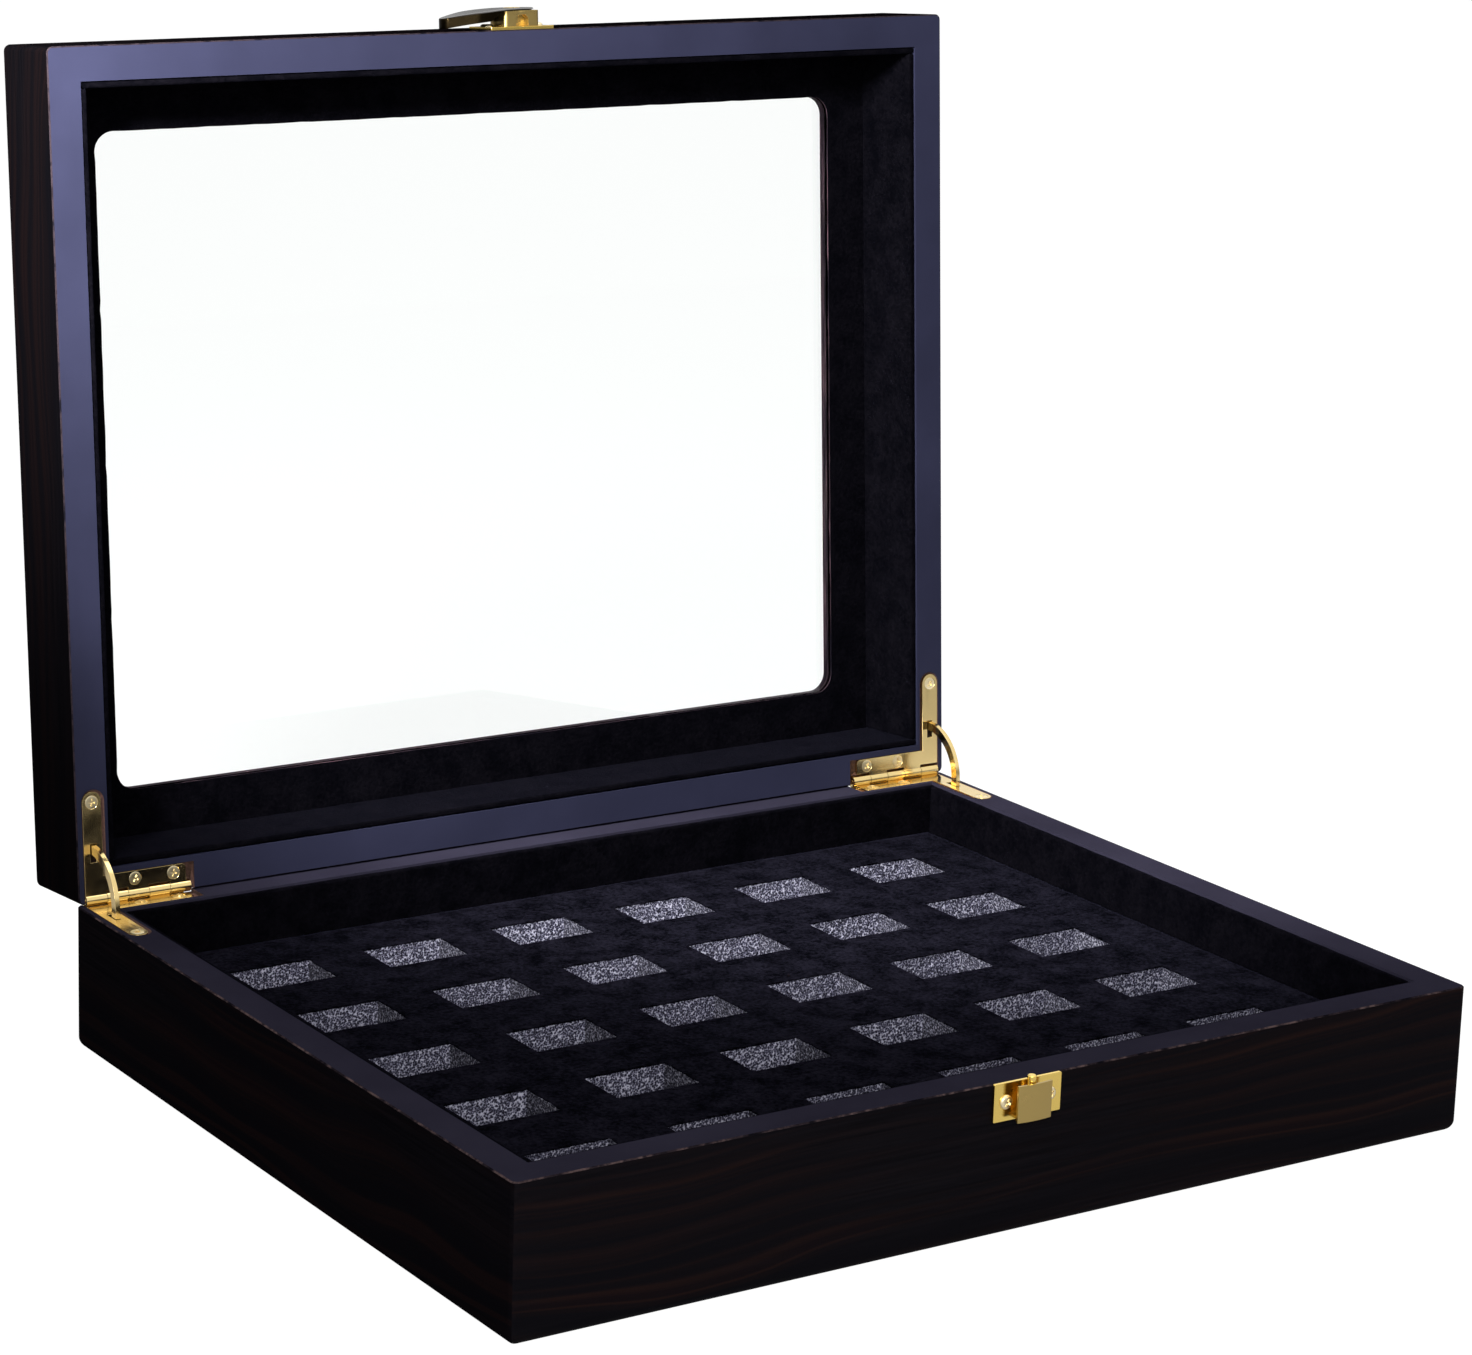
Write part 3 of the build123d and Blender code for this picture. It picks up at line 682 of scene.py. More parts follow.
def grown_edges(
    shape: bmesh.types.BMesh, edges: list[bmesh.types.BMEdge]
) -> tuple[list[bmesh.types.BMVert], list[bmesh.types.BMEdge]]:
    """Extrude open edges in place.

    Args:
        shape: the mesh that holds the edges.
        edges: the edges, each with one face.

    Returns:
        The new points, and the new edges that border one face only.
    """
    grown = bmesh.ops.extrude_edge_only(shape, edges=edges)["geom"]
    points = [item for item in grown if isinstance(item, bmesh.types.BMVert)]
    border = [item for item in grown if isinstance(item, bmesh.types.BMEdge) and len(item.link_faces) == 1]
    return points, border


@dataclass
class Dresser:
    """Turns CAD nodes into clean meshes with softened edges, and makes finished pieces into objects on their
    moving bodies.
    """

    merge_mm: float = 0.002
    flat_degrees: float = 0.8
    sharp_degrees: float = 32.0

    def copy(self, node: str, half: Half) -> bmesh.types.BMesh:
        """A merged copy of a node with flat faces joined, where the shut box would hold it.

        Args:
            node: the CAD node's name.
            half: the half of the box that it is on.

        Returns:
            The shape.
        """
        shape = bmesh.new()
        shape.from_mesh(frame["nodes"][node].data)
        shape.transform(half.turn.inverted())
        bmesh.ops.remove_doubles(shape, verts=shape.verts, dist=self.merge_mm * MM)
        bmesh.ops.dissolve_limit(
            shape, angle_limit=math.radians(self.flat_degrees), verts=shape.verts, edges=shape.edges
        )
        shape.normal_update()
        return shape

    def soften(self, shape: bmesh.types.BMesh, width_mm: float, degrees: float = 40.0) -> None:
        """Round a shape's outside corners.

        Args:
            shape: the mesh to change.
            width_mm: the width of the rounding.
            degrees: the least angle that counts as a corner.
        """
        limit = math.radians(degrees)
        sharp = [
            edge
            for edge in shape.edges
            if len(edge.link_faces) == 2 and edge.calc_face_angle() > limit and edge.is_convex
        ]
        bmesh.ops.bevel(
            shape,
            geom=sharp,
            offset=width_mm * MM,
            segments=2,
            profile=0.5,
            affect="EDGES",
            material=-1,
            clamp_overlap=True,
        )

    def piece(
        self,
        name: str,
        shape: bmesh.types.BMesh,
        half: Half,
        body: str,
        slot: str,
        finishes: list[Finish],
        replaced: list[str],
        smooth: bool = True,
    ) -> bpy.types.Object:
        """Make the object of a finished shape, hang it on the empty of the moving body that carries it, and hide
        the CAD nodes that it stands for.

        Args:
            name: the piece's name.
            shape: its mesh on the shut box, which is freed here.
            half: the half of the box that it is on.
            body: the moving body that carries it.
            slot: the record's material slot; not used.
            finishes: its finishes, by material slot number.
            replaced: the CAD nodes that it stands for.
            smooth: whether curved faces are shaded smooth.

        Returns:
            The object.
        """
        shape.transform(half.turn)
        mesh = mesh_of(name, shape)
        for finish in finishes:
            mesh.materials.append(finish.material())
        if smooth:
            mesh.polygons.foreach_set("use_smooth", [True] * len(mesh.polygons))
            mesh.set_sharp_from_angle(angle=math.radians(self.sharp_degrees))
        made = linked(name, mesh)
        if smooth:
            weights = made.modifiers.new("even_shading", "WEIGHTED_NORMAL")
            weights.keep_sharp = True
        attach(made, body)
        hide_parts(*replaced)
        LOG.info("made %s with %d faces", name, len(mesh.polygons))
        return made


DRESSER = Dresser()


@dataclass
class Carcase:
    """The mitred walls and panels of the base and the lid."""

    corner_mm: float = 2.0
    skin_mm: float = 0.37
    arris_mm: float = 0.4
    foot_mm: float = 4.0
    side_skin_mm: float = 5.0
    inner_area_mm2: float = 1000.0
    felt_edge_mm: float = 0.3

    def outer(self, centre: Vector) -> bool:
        """Whether a point lies on the outer skin of the box, its rounded corners included.

        Args:
            centre: the point on the shut box.

        Returns:
            True on the skin.
        """
        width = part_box("lid_top_panel")[1].x
        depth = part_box("base_back_wall")[1].y
        past_x = max(abs(centre.x) - (width - self.corner_mm * MM), 0.0)
        past_y = max(abs(centre.y) - (depth - self.corner_mm * MM), 0.0)
        return math.hypot(past_x, past_y) > (self.corner_mm - self.skin_mm) * MM

    def wall(self, half: Half, side: str) -> None:
        """Dress one wall: veneer outside, lacquer on the rim, raw board in the routed beds.

        Args:
            half: the half of the box.
            side: front, back, left or right.
        """
        node = f"{half.value}_{side}_wall"
        shape = DRESSER.copy(node, half)
        rim = (max if half is Half.BASE else min)(v.co.z for v in shape.verts)
        grain = Grain.ACROSS_FRONT if side in ("front", "back") else Grain.FRONT_TO_BACK
        lacquer, sanded, bare = 1, 2, 3
        for face in shape.faces:
            centre = face.calc_center_median()
            upright = abs(face.normal.z)
            skin = self.outer(centre)
            inward = centre.x * face.normal.x + centre.y * face.normal.y < 0
            if abs(centre.z - rim) < 0.05 * MM and upright > LEVEL:
                face.material_index = lacquer
            elif skin and abs(centre.z - rim) < self.arris_mm * MM and 0.5 < upright < LEVEL:
                face.material_index = sanded
            elif skin or (half is Half.BASE and centre.z < self.foot_mm * MM and face.normal.z < -0.2):
                face.material_index = 0
            elif inward and face.calc_area() > self.inner_area_mm2 * MM**2:
                face.material_index = lacquer
            else:
                face.material_index = bare
        finishes = [
            veneer(half, grain),
            RimLacquer(f"satin_rim_lacquer_{half.value}", half, *RIM_PAINTED_REFLECTION_TONES[half]),
            VeneerEdge(f"sanded_veneer_edge_{half.value}", half, BARE_EDGE[half]),
            RawFibreboard(f"routed_fibreboard_{half.value}", half),
        ]
        DRESSER.piece(f"{node}_dressed", shape, half, half.value, "ebony_veneer", finishes, [node])

    def top_panel(self) -> None:
        """Dress the lid's top panel: veneer all over, with a stained strip round the window."""
        shape = DRESSER.copy("lid_top_panel", Half.LID)
        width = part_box("lid_top_panel")[1].x
        for face in shape.faces:
            centre = face.calc_center_median()
            inward = centre.x * face.normal.x + centre.y * face.normal.y < 0
            at_side = abs(face.normal.x) > abs(face.normal.y) and abs(centre.x) > width - self.side_skin_mm * MM
            if abs(face.normal.z) < 0.2 and inward:
                face.material_index = 2
            else:
                face.material_index = int(at_side and abs(face.normal.z) < LEVEL)
        finishes = [
            veneer(Half.LID, Grain.ACROSS_FRONT),
            veneer(Half.LID, Grain.FRONT_TO_BACK),
            WindowEdge("stained_window_edge", Half.LID),
        ]
        DRESSER.piece(
            "lid_top_panel_dressed", shape, Half.LID, "lid", "ebony_veneer", finishes, ["lid_top_panel"]
        )

    def panels(self) -> None:
        """Give the bottom panel, the felt and the glass their finishes."""
        board = frame["nodes"]["base_bottom_panel"]
        board.data.materials.clear()
        board.data.materials.append(RawFibreboard("plain_fibreboard").material())
        glass = frame["nodes"]["glass_pane"]
        glass.data.materials.clear()
        glass.data.materials.append(FloatGlass("clear_float_glass", Half.LID).material())
        felt = DRESSER.copy("base_underside_felt", Half.BASE)
        DRESSER.soften(felt, self.felt_edge_mm)
        DRESSER.piece(
            "underside_felt_dressed", felt, Half.BASE, "base", "felt", [WoolFelt("wool_felt")],
            ["base_underside_felt"],
        )

    def build(self) -> None:
        """Dress every wall and panel."""
        for half in Half:
            for side in ("front", "back", "left", "right"):
                self.wall(half, side)
        self.top_panel()
        self.panels()


@dataclass
class Linings:
    """Velvet covered boards: their edges are rolled over and the pile makes them slightly uneven."""

    roll_mm: float = 0.6
    cell_mm: float = 3.0
    uneven_mm: float = 0.12
    wave_mm: float = 6.25
    settled: float = 0.6

    def subdivide(self, shape: bmesh.types.BMesh) -> None:
        """Cut long faces into cells of about the set size.

        Args:
            shape: the board's mesh.
        """
        longest = max(edge.calc_length() for edge in shape.edges)
        bmesh.ops.triangulate(shape, faces=shape.faces)
        for _ in range(math.ceil(math.log2(longest / (self.cell_mm * MM * 2)))):
            long_edges = [e for e in shape.edges if e.calc_length() > self.cell_mm * MM * 2]
            if not long_edges:
                break
            bmesh.ops.subdivide_edges(shape, edges=long_edges, cuts=1)
            bmesh.ops.triangulate(shape, faces=shape.faces)

    def ruffle(self, shape: bmesh.types.BMesh) -> None:
        """Move points by a smooth noise of the pile's height, never outwards past the board.

        Args:
            shape: the board's mesh.
        """
        for vert in shape.verts:
            lift = noise.noise(vert.co * per_metre(self.wave_mm)) - self.settled
            vert.co += vert.normal * lift * self.uneven_mm * MM

    def board(self, half: Half, node: str) -> None:
        """Dress one lining board; the one round the window shows its stained edge.

        Args:
            half: the half of the box.
            node: the board's CAD node.
        """
        shape = DRESSER.copy(node, half)
        DRESSER.soften(shape, self.roll_mm)
        self.subdivide(shape)
        shape.normal_update()
        finishes: list[Finish] = [Velvet(f"black_velvet_{half.value}", half)]
        if node == "window_lining_board":
            finishes.append(WindowEdge("stained_window_edge", Half.LID))
            for face in shape.faces:
                inward = face.calc_center_median().dot(Vector((face.normal.x, face.normal.y, 0.0))) < 0
                face.material_index = int(inward and abs(face.normal.z) < 0.5)
        self.ruffle(shape)
        DRESSER.piece(f"{node}_velvet", shape, half, half.value, "velvet", finishes, [node])

    def build(self) -> None:
        """Dress the boards of the base and the lid, and the board round the window."""
        for half in Half:
            for side in ("front", "back", "left", "right"):
                self.board(half, f"{half.value}_{side}_lining")
        self.board(Half.LID, "window_lining_board")


@dataclass
class FoamTray:
    """The foam insert with its grid of slots, and the velvet sheet glued over its top."""

    columns: int = 6
    rows: int = 5
    slot_width_mm: float = 28.3
    slot_length_mm: float = 18.9
    pitch_x_mm: float = 47.8
    pitch_y_mm: float = 44.9
    floor_mm: float = 3.0
    cell_mm: float = 1.5
    roll_mm: float = 0.7
    rings: int = 14
    uncut_mm: float = 0.2
    pore_mm: float = 0.21
    tear_mm: tuple[float, float] = (1.4286, 0.6667)
    ragged_mm: float = 0.25
    ragged_fade_mm: float = 1.2
    fray_mm: float = 2.0
    held_mm: float = 2.0
    wave_mm: tuple[float, float] = (11.1, 3.85)
    wave_depth_mm: float = 0.12
    sunk_mm: float = 0.1
    roll_drop: float = 0.75
    thick_mm: float = 0.5

    def spans(self) -> tuple[list[tuple[float, float]], list[tuple[float, float]]]:
        """The slots' edges along X and along Y, in metres."""
        return (
            self.slot_spans(self.columns, self.pitch_x_mm, self.slot_width_mm),
            self.slot_spans(self.rows, self.pitch_y_mm, self.slot_length_mm),
        )

    def slot_spans(self, count: int, pitch_mm: float, size_mm: float) -> list[tuple[float, float]]:
        """The slots' edges along one direction.

        Args:
            count: the number of slots.
            pitch_mm: the distance between their middles.
            size_mm: the size of each.

        Returns:
            Low and high edge of each slot, in metres.
        """
        middles = [(n - (count - 1) / 2) * pitch_mm for n in range(count)]
        return [((m - size_mm / 2) * MM, (m + size_mm / 2) * MM) for m in middles]

    def lines(self, low: float, high: float, spans: list[tuple[float, float]], rolls: bool) -> list[float]:
        """Grid lines from low to high that pass through every slot edge.

        Args:
            low: where the lines start.
            high: where they end.
            spans: the slots' edges along this direction.
            rolls: whether to add close lines beside each slot edge for a rolled lip.

        Returns:
            The places of the lines, in order.
        """
        stops = sorted([low, high] + [edge for span in spans for edge in span])
        if rolls:
            near = [share * self.roll_mm * MM for share in (0.2, 0.55, 1.0)]
            stops += [a - d for a, _ in spans for d in near] + [b + d for _, b in spans for d in near]
            stops = sorted(stops)
        places: list[float] = []
        for start, end in zip(stops, stops[1:]):
            cuts = max(1, round((end - start) / (self.cell_mm * MM)))
            places += [start + (end - start) * k / cuts for k in range(cuts)]
        return places + [high]

    def sheet_with_slots(self, low: Vector, high: Vector, level: float, rolls: bool) -> bmesh.types.BMesh:
        """A flat grid with the slots left open.

        Args:
            low: lowest corner of the insert.
            high: highest corner of the insert.
            level: height of the grid.
            rolls: whether the grid has extra lines for a rolled lip.

        Returns:
            The mesh.
        """
        spans_x, spans_y = self.spans()
        xs = self.lines(low.x, high.x, spans_x, rolls)
        ys = self.lines(low.y, high.y, spans_y, rolls)
        shape = bmesh.new()
        grid = [[shape.verts.new((x, y, level)) for x in xs] for y in ys]

        def inside(value: float, spans: list[tuple[float, float]]) -> bool:
            """Whether a place falls within a slot along one direction."""
            return any(a < value < b for a, b in spans)

        for j in range(len(ys) - 1):
            for i in range(len(xs) - 1):
                middle_x = (xs[i] + xs[i + 1]) / 2
                middle_y = (ys[j] + ys[j + 1]) / 2
                if inside(middle_x, spans_x) and inside(middle_y, spans_y):
                    continue
                shape.faces.new((grid[j][i], grid[j][i + 1], grid[j + 1][i + 1], grid[j + 1][i]))
        bmesh.ops.delete(shape, geom=[v for v in shape.verts if not v.link_faces], context="VERTS")
        return shape

    def foam(self) -> None:
        """The foam block: slot walls with torn cells, closed at the bottom and outside."""
        low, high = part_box("foam_insert")
        shape = self.sheet_with_slots(low, high, high.z, False)
        on_border = [e for e in shape.edges if len(e.link_faces) == 1]
        slot_rims = [
            e for e in on_border
            if all(abs(v.co.x) < high.x - MM and abs(v.co.y) < high.y - MM for v in e.verts)
        ]
        outside = [e for e in on_border if e not in set(slot_rims)]
        floor = low.z + self.floor_mm * MM
        for step in range(self.rings):
            points, slot_rims = grown_edges(shape, slot_rims)
            for point in points:
                point.co.z = high.z + (floor - high.z) * (step + 1) / self.rings
        bmesh.ops.holes_fill(shape, edges=slot_rims)
        points, bottom = grown_edges(shape, outside)
        for point in points:
            point.co.z = low.z
        bmesh.ops.holes_fill(shape, edges=bottom)
        bmesh.ops.recalc_face_normals(shape, faces=shape.faces)
        large, small = (per_metre(size) for size in self.tear_mm)
        for vert in shape.verts:
            if floor + self.uncut_mm * MM < vert.co.z < high.z - self.uncut_mm * MM:
                pores = noise.noise(vert.co * large) + 0.6 * noise.noise(vert.co * small)
                vert.co += vert.normal * (pores - 0.4) * self.pore_mm * MM
        shape.normal_update()
        # The slots' right-hand walls are in shade in the photograph, and a darker foam stands for that.
        for face in shape.faces:
            face.material_index = int(face.normal.x < -0.6 and abs(face.calc_center_median().x) < high.x - MM)
        finishes = [CutFoam("open_cell_foam"), CutFoam("open_cell_foam_pressed", painted_light_level=0.4)]
        piece = DRESSER.piece(
            "foam_insert_cut", shape, Half.BASE, "base", "foam", finishes, ["foam_insert"], smooth=False
        )

    def velvet(self) -> None:
        """The velvet sheet: flat between the slots and rolled down into each of them."""
        low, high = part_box("velvet_top_sheet")
        shape = self.sheet_with_slots(low, high, high.z, True)
        spans_x, spans_y = self.spans()

        def gap(value: float, spans: list[tuple[float, float]]) -> float:
            """Distance from a place to the nearest slot along one direction."""
            return min(max(a - value, value - b, 0.0) for a, b in spans)

        roll = self.roll_mm * MM
        fray = per_metre(self.fray_mm)
        long_wave, short_wave = (per_metre(size) for size in self.wave_mm)
        for vert in shape.verts:
            away = math.hypot(gap(vert.co.x, spans_x), gap(vert.co.y, spans_y))
            if min(high.x - abs(vert.co.x), high.y - abs(vert.co.y)) >= self.held_mm * MM:
                ragged = self.ragged_mm * MM * math.exp(-away / (self.ragged_fade_mm * MM))
                place = vert.co.copy()
                vert.co.x += ragged * noise.noise(place * fray)
                vert.co.y += ragged * noise.noise(place * fray + Vector((7.0, 3.0, 1.0)))
            waves = 0.5 * noise.noise(vert.co * long_wave) + 0.5 * noise.noise(vert.co * short_wave)
            if away < roll:
                vert.co.z -= (1 - math.sqrt(max(0.0, 1 - (1 - away / roll) ** 2))) * roll * self.roll_drop
            vert.co.z -= (self.sunk_mm - self.wave_depth_mm * waves) * MM
        mesh_area = sum(face.calc_area() for face in shape.faces)
        piece = DRESSER.piece(
            "velvet_top_laid", shape, Half.BASE, "base", "velvet", [TOP_VELVET], ["velvet_top_sheet"]
        )
        thick = piece.modifiers.new("sheet_thickness", "SOLIDIFY")
        thick.thickness = self.thick_mm * MM
        thick.offset = -1.0

    def build(self) -> None:
        """Make the foam and the velvet over it."""
        self.foam()
        self.velvet()


@dataclass
class Fittings:
    """Gold hinges and clasp, dressed from their solids with worn-soft edges."""

    edge_mm: float = 0.12
    lip_mm: tuple[float, float] = (3.4, 0.5)
    lip_slack_mm: tuple[float, float] = (0.3, 0.1)
    plate_mm: float = 1.0
    solid_hub_mm: float = 6.9
    solid_rivet_mm: float = 9.65
    rivet_proud_mm: float = 0.12
    hub_top_mm: float = 6.15
    lever_top_mm: float = 6.95
    tip_top_mm: float = 4.1
    reach_mm: float = 27.0
    heel_mm: float = 7.2
    widest_mm: float = 13.0
    waist_mm: float = 8.6
    tip_mm: float = 4.0
    stations: int = 40
    across: int = 14
    crown_mm: float = 0.4
    crown_from: float = 0.8
    rim_depth_mm: float = 2.9
    rim_least_mm: float = 0.05
    rim_from_mm: float = 8.5
    rim_ramp_mm: float = 4.0
    rim_steps: int = 3
    sheet_mm: float = 0.45
    hook_mm: tuple[float, float, float, float] = (9.5, 17.0, 2.1, 7.15)
    hook_levels_mm: tuple[float, float] = (2.4, 3.3)
    tongue_mm: tuple[float, float] = (0.9, 1.0)

    def half_width(self, along: float) -> float:
        """Half width of the lever's outline at a distance from its pivot, in millimetres.

        Args:
            along: distance from the pivot towards the tip, negative on the heel.

        Returns:
            The half width of the hull round the heel, the widest part and the tip.
        """
        circles = (
            (0.0, self.heel_mm), (self.widest_mm, self.waist_mm), (self.reach_mm - self.tip_mm, self.tip_mm)
        )
        best = 0.0
        steps = 24
        for (start, wide), (end, narrow) in zip(circles, circles[1:]):
            for k in range(steps + 1):
                middle = start + (end - start) * k / steps
                radius = wide + (narrow - wide) * k / steps
                if abs(along - middle) < radius:
                    best = max(best, math.sqrt(radius**2 - (along - middle) ** 2))
        return best

    def lever_skin(self, pivot: Vector) -> bmesh.types.BMesh:
        """The lever's bowed upper skin, rounded off along its sides.

        Args:
            pivot: the rivet's axis on the shut box.

        Returns:
            A grid that narrows towards the heel and the tip.
        """
        shape = bmesh.new()
        just_inside = 0.999
        rows: list[list[bmesh.types.BMVert]] = []
        for n in range(self.stations + 1):
            from_middle = (self.reach_mm + self.heel_mm) / 2 * math.cos(math.pi * n / self.stations) * just_inside
            along = (self.reach_mm - self.heel_mm) / 2 - from_middle
            width = self.half_width(along)
            top = self.lever_top_mm - (self.lever_top_mm - self.tip_top_mm) * max(along / self.reach_mm, 0.0) ** 2
            row = []
            for k in range(self.across + 1):
                share = math.sin(math.pi / 2 * (2 * k / self.across - 1))
                over = max(0.0, abs(share) - self.crown_from) / (1 - self.crown_from)
                out = top - self.crown_mm * over**2
                row.append(shape.verts.new((
                    pivot.x - along * MM, pivot.y - out * MM, pivot.z + width * share * MM
                )))
            rows.append(row)
        for one, two in zip(rows, rows[1:]):
            for k in range(self.across):
                shape.faces.new((one[k], one[k + 1], two[k + 1], two[k]))
        return shape

    def turn_down(self, shape: bmesh.types.BMesh, pivot: Vector) -> None:
        """Turn the edge of the lever's skin down, deepest from its widest part to the tip.

        Args:
            shape: the skin.
            pivot: the rivet's axis on the shut box.
        """
        border = [edge for edge in shape.edges if len(edge.link_faces) == 1]
        for _ in range(self.rim_steps):
            points, border = grown_edges(shape, border)
            for point in points:
                along = (pivot.x - point.co.x) / MM
                share = min(1.0, max(0.0, (along - self.rim_from_mm) / self.rim_ramp_mm))
                point.co.y += (self.rim_least_mm + self.rim_depth_mm * share) / self.rim_steps * MM

    def hook(self, shape: bmesh.types.BMesh, pivot: Vector) -> None:
        """Add the hook under the lever: a strip behind the peg, and the tongue that carries it.

        Args:
            shape: the lever.
            pivot: the rivet's axis on the shut box.
        """
        near, far, low, high = self.hook_mm
        under, over = self.hook_levels_mm
        width, into_skin = self.tongue_mm
        for z_low, z_high, y_high in ((low, high, over), (high - width, high, self.tip_top_mm + into_skin)):
            block_between(
                shape,
                (pivot.x - far * MM, pivot.y - y_high * MM, pivot.z + z_low * MM),
                (pivot.x - near * MM, pivot.y - under * MM, pivot.z + z_high * MM),
            )

    def lever(self, finish: Finish) -> None:
        """The lever as pressed sheet: bowed, with its edge turned down, and a hook soldered under it.

        Args:
            finish: its plating.
        """
        pivot = TURN_UP.inverted() @ Vector(JOINTS["clasp_swing"]["pos_m"])
        shape = self.lever_skin(pivot)
        self.turn_down(shape, pivot)
        bmesh.ops.recalc_face_normals(shape, faces=shape.faces)
        centre_face = min(shape.faces, key=lambda f: (f.calc_center_median() - pivot).length)
        if centre_face.normal.y > 0:
            bmesh.ops.reverse_faces(shape, faces=shape.faces)
        bmesh.ops.solidify(shape, geom=shape.faces, thickness=self.sheet_mm * MM)
        self.hook(shape, pivot)
        bmesh.ops.recalc_face_normals(shape, faces=shape.faces)
        DRESSER.piece(
            "clasp_lever_plated", shape, Half.LID, "clasp_lever", "satin_gold", [finish], ["clasp_lever"]
        )

    def press(self, shape: bmesh.types.BMesh, old_top_mm: float, new_top_mm: float) -> None:
        """Lower a lid fitting's top, measured out from the lid's front.

        Args:
            shape: the fitting.
            old_top_mm: how far out its top stands in the solid.
            new_top_mm: how far out it is to stand.
        """
        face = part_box("base_front_wall")[0].y
        plate = self.plate_mm * MM
        share = (new_top_mm - self.plate_mm) / (old_top_mm - self.plate_mm)
        for vert in shape.verts:
            out = face - vert.co.y
            if out > plate:
                vert.co.y = face - plate - (out - plate) * share

    def bed_lip(self, shape: bmesh.types.BMesh, node: str) -> None:
        """Add the thin lip that closes a hinge bed's slit under the barrel.

        Args:
            shape: the base leaf.
            node: its CAD node.
        """
        low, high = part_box(node)
        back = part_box("base_back_wall")[1].y
        length, height = self.lip_mm
        beside, behind = self.lip_slack_mm
        block_between(
            shape,
            (low.x + beside * MM, back - length * MM, low.z),
            (high.x - beside * MM, back - behind * MM, low.z + height * MM),
        )

    def dress(self, node: str, half: Half, body: str, slot: str, finish: Finish) -> None:
        """Soften one fitting's edges and plate it.

        Args:
            node: the fitting's CAD node.
            half: the half of the box that it is on.
            body: the moving body that carries it.
            slot: the record's material slot.
            finish: its plating.
        """
        shape = DRESSER.copy(node, half)
        if node.endswith("hinge_base_leaf"):
            self.bed_lip(shape, node)
        if node == "clasp_hub":
            self.press(shape, self.solid_hub_mm, self.hub_top_mm)
        if node == "clasp_rivet":
            self.press(shape, self.solid_rivet_mm, self.lever_top_mm + self.rivet_proud_mm)
        DRESSER.soften(shape, self.edge_mm, degrees=50.0)
        DRESSER.piece(f"{node}_plated", shape, half, body, slot, [finish], [node])

    def build(self) -> None:
        """Dress both hinges and the clasp."""
        mirror = {half: GoldBrass(f"polished_gold_{half.value}", half) for half in Half}
        satin = {half: GoldBrass(f"satin_gold_{half.value}", half, "#b59c60", 0.26, 0.08) for half in Half}
        plate = {half: GoldBrass(f"yellow_gold_{half.value}", half, "#f3d272", 0.14, 0.06) for half in Half}
        for side in ("left", "right"):
            self.dress(f"{side}_hinge_base_leaf", Half.BASE, "base", "polished_gold", mirror[Half.BASE])
            self.dress(f"{side}_hinge_lid_leaf", Half.LID, "lid", "polished_gold", mirror[Half.LID])
            self.dress(f"{side}_hinge_pin", Half.BASE, "base", "polished_gold", mirror[Half.BASE])
            self.dress(f"{side}_hinge_stay", Half.BASE, f"{side}_stay", "polished_gold", mirror[Half.BASE])
        for part, half, body in (
            ("base_plate", Half.BASE, "base"),
            ("keeper", Half.BASE, "base"),
            ("peg", Half.BASE, "base"),
            ("lid_plate", Half.LID, "lid"),
            ("hub", Half.LID, "lid"),
            ("rivet", Half.LID, "lid"),
        ):
            finish = plate[half] if part in ("base_plate", "lid_plate", "peg") else satin[half]
            self.dress(f"clasp_{part}", half, body, "satin_gold", finish)
        # The lever's gold is given a near-black colour, far darker than the other gold fittings.
        self.lever(GoldBrass("near_black_gold_lever", Half.LID, "#231c10", 0.14, 0.06))


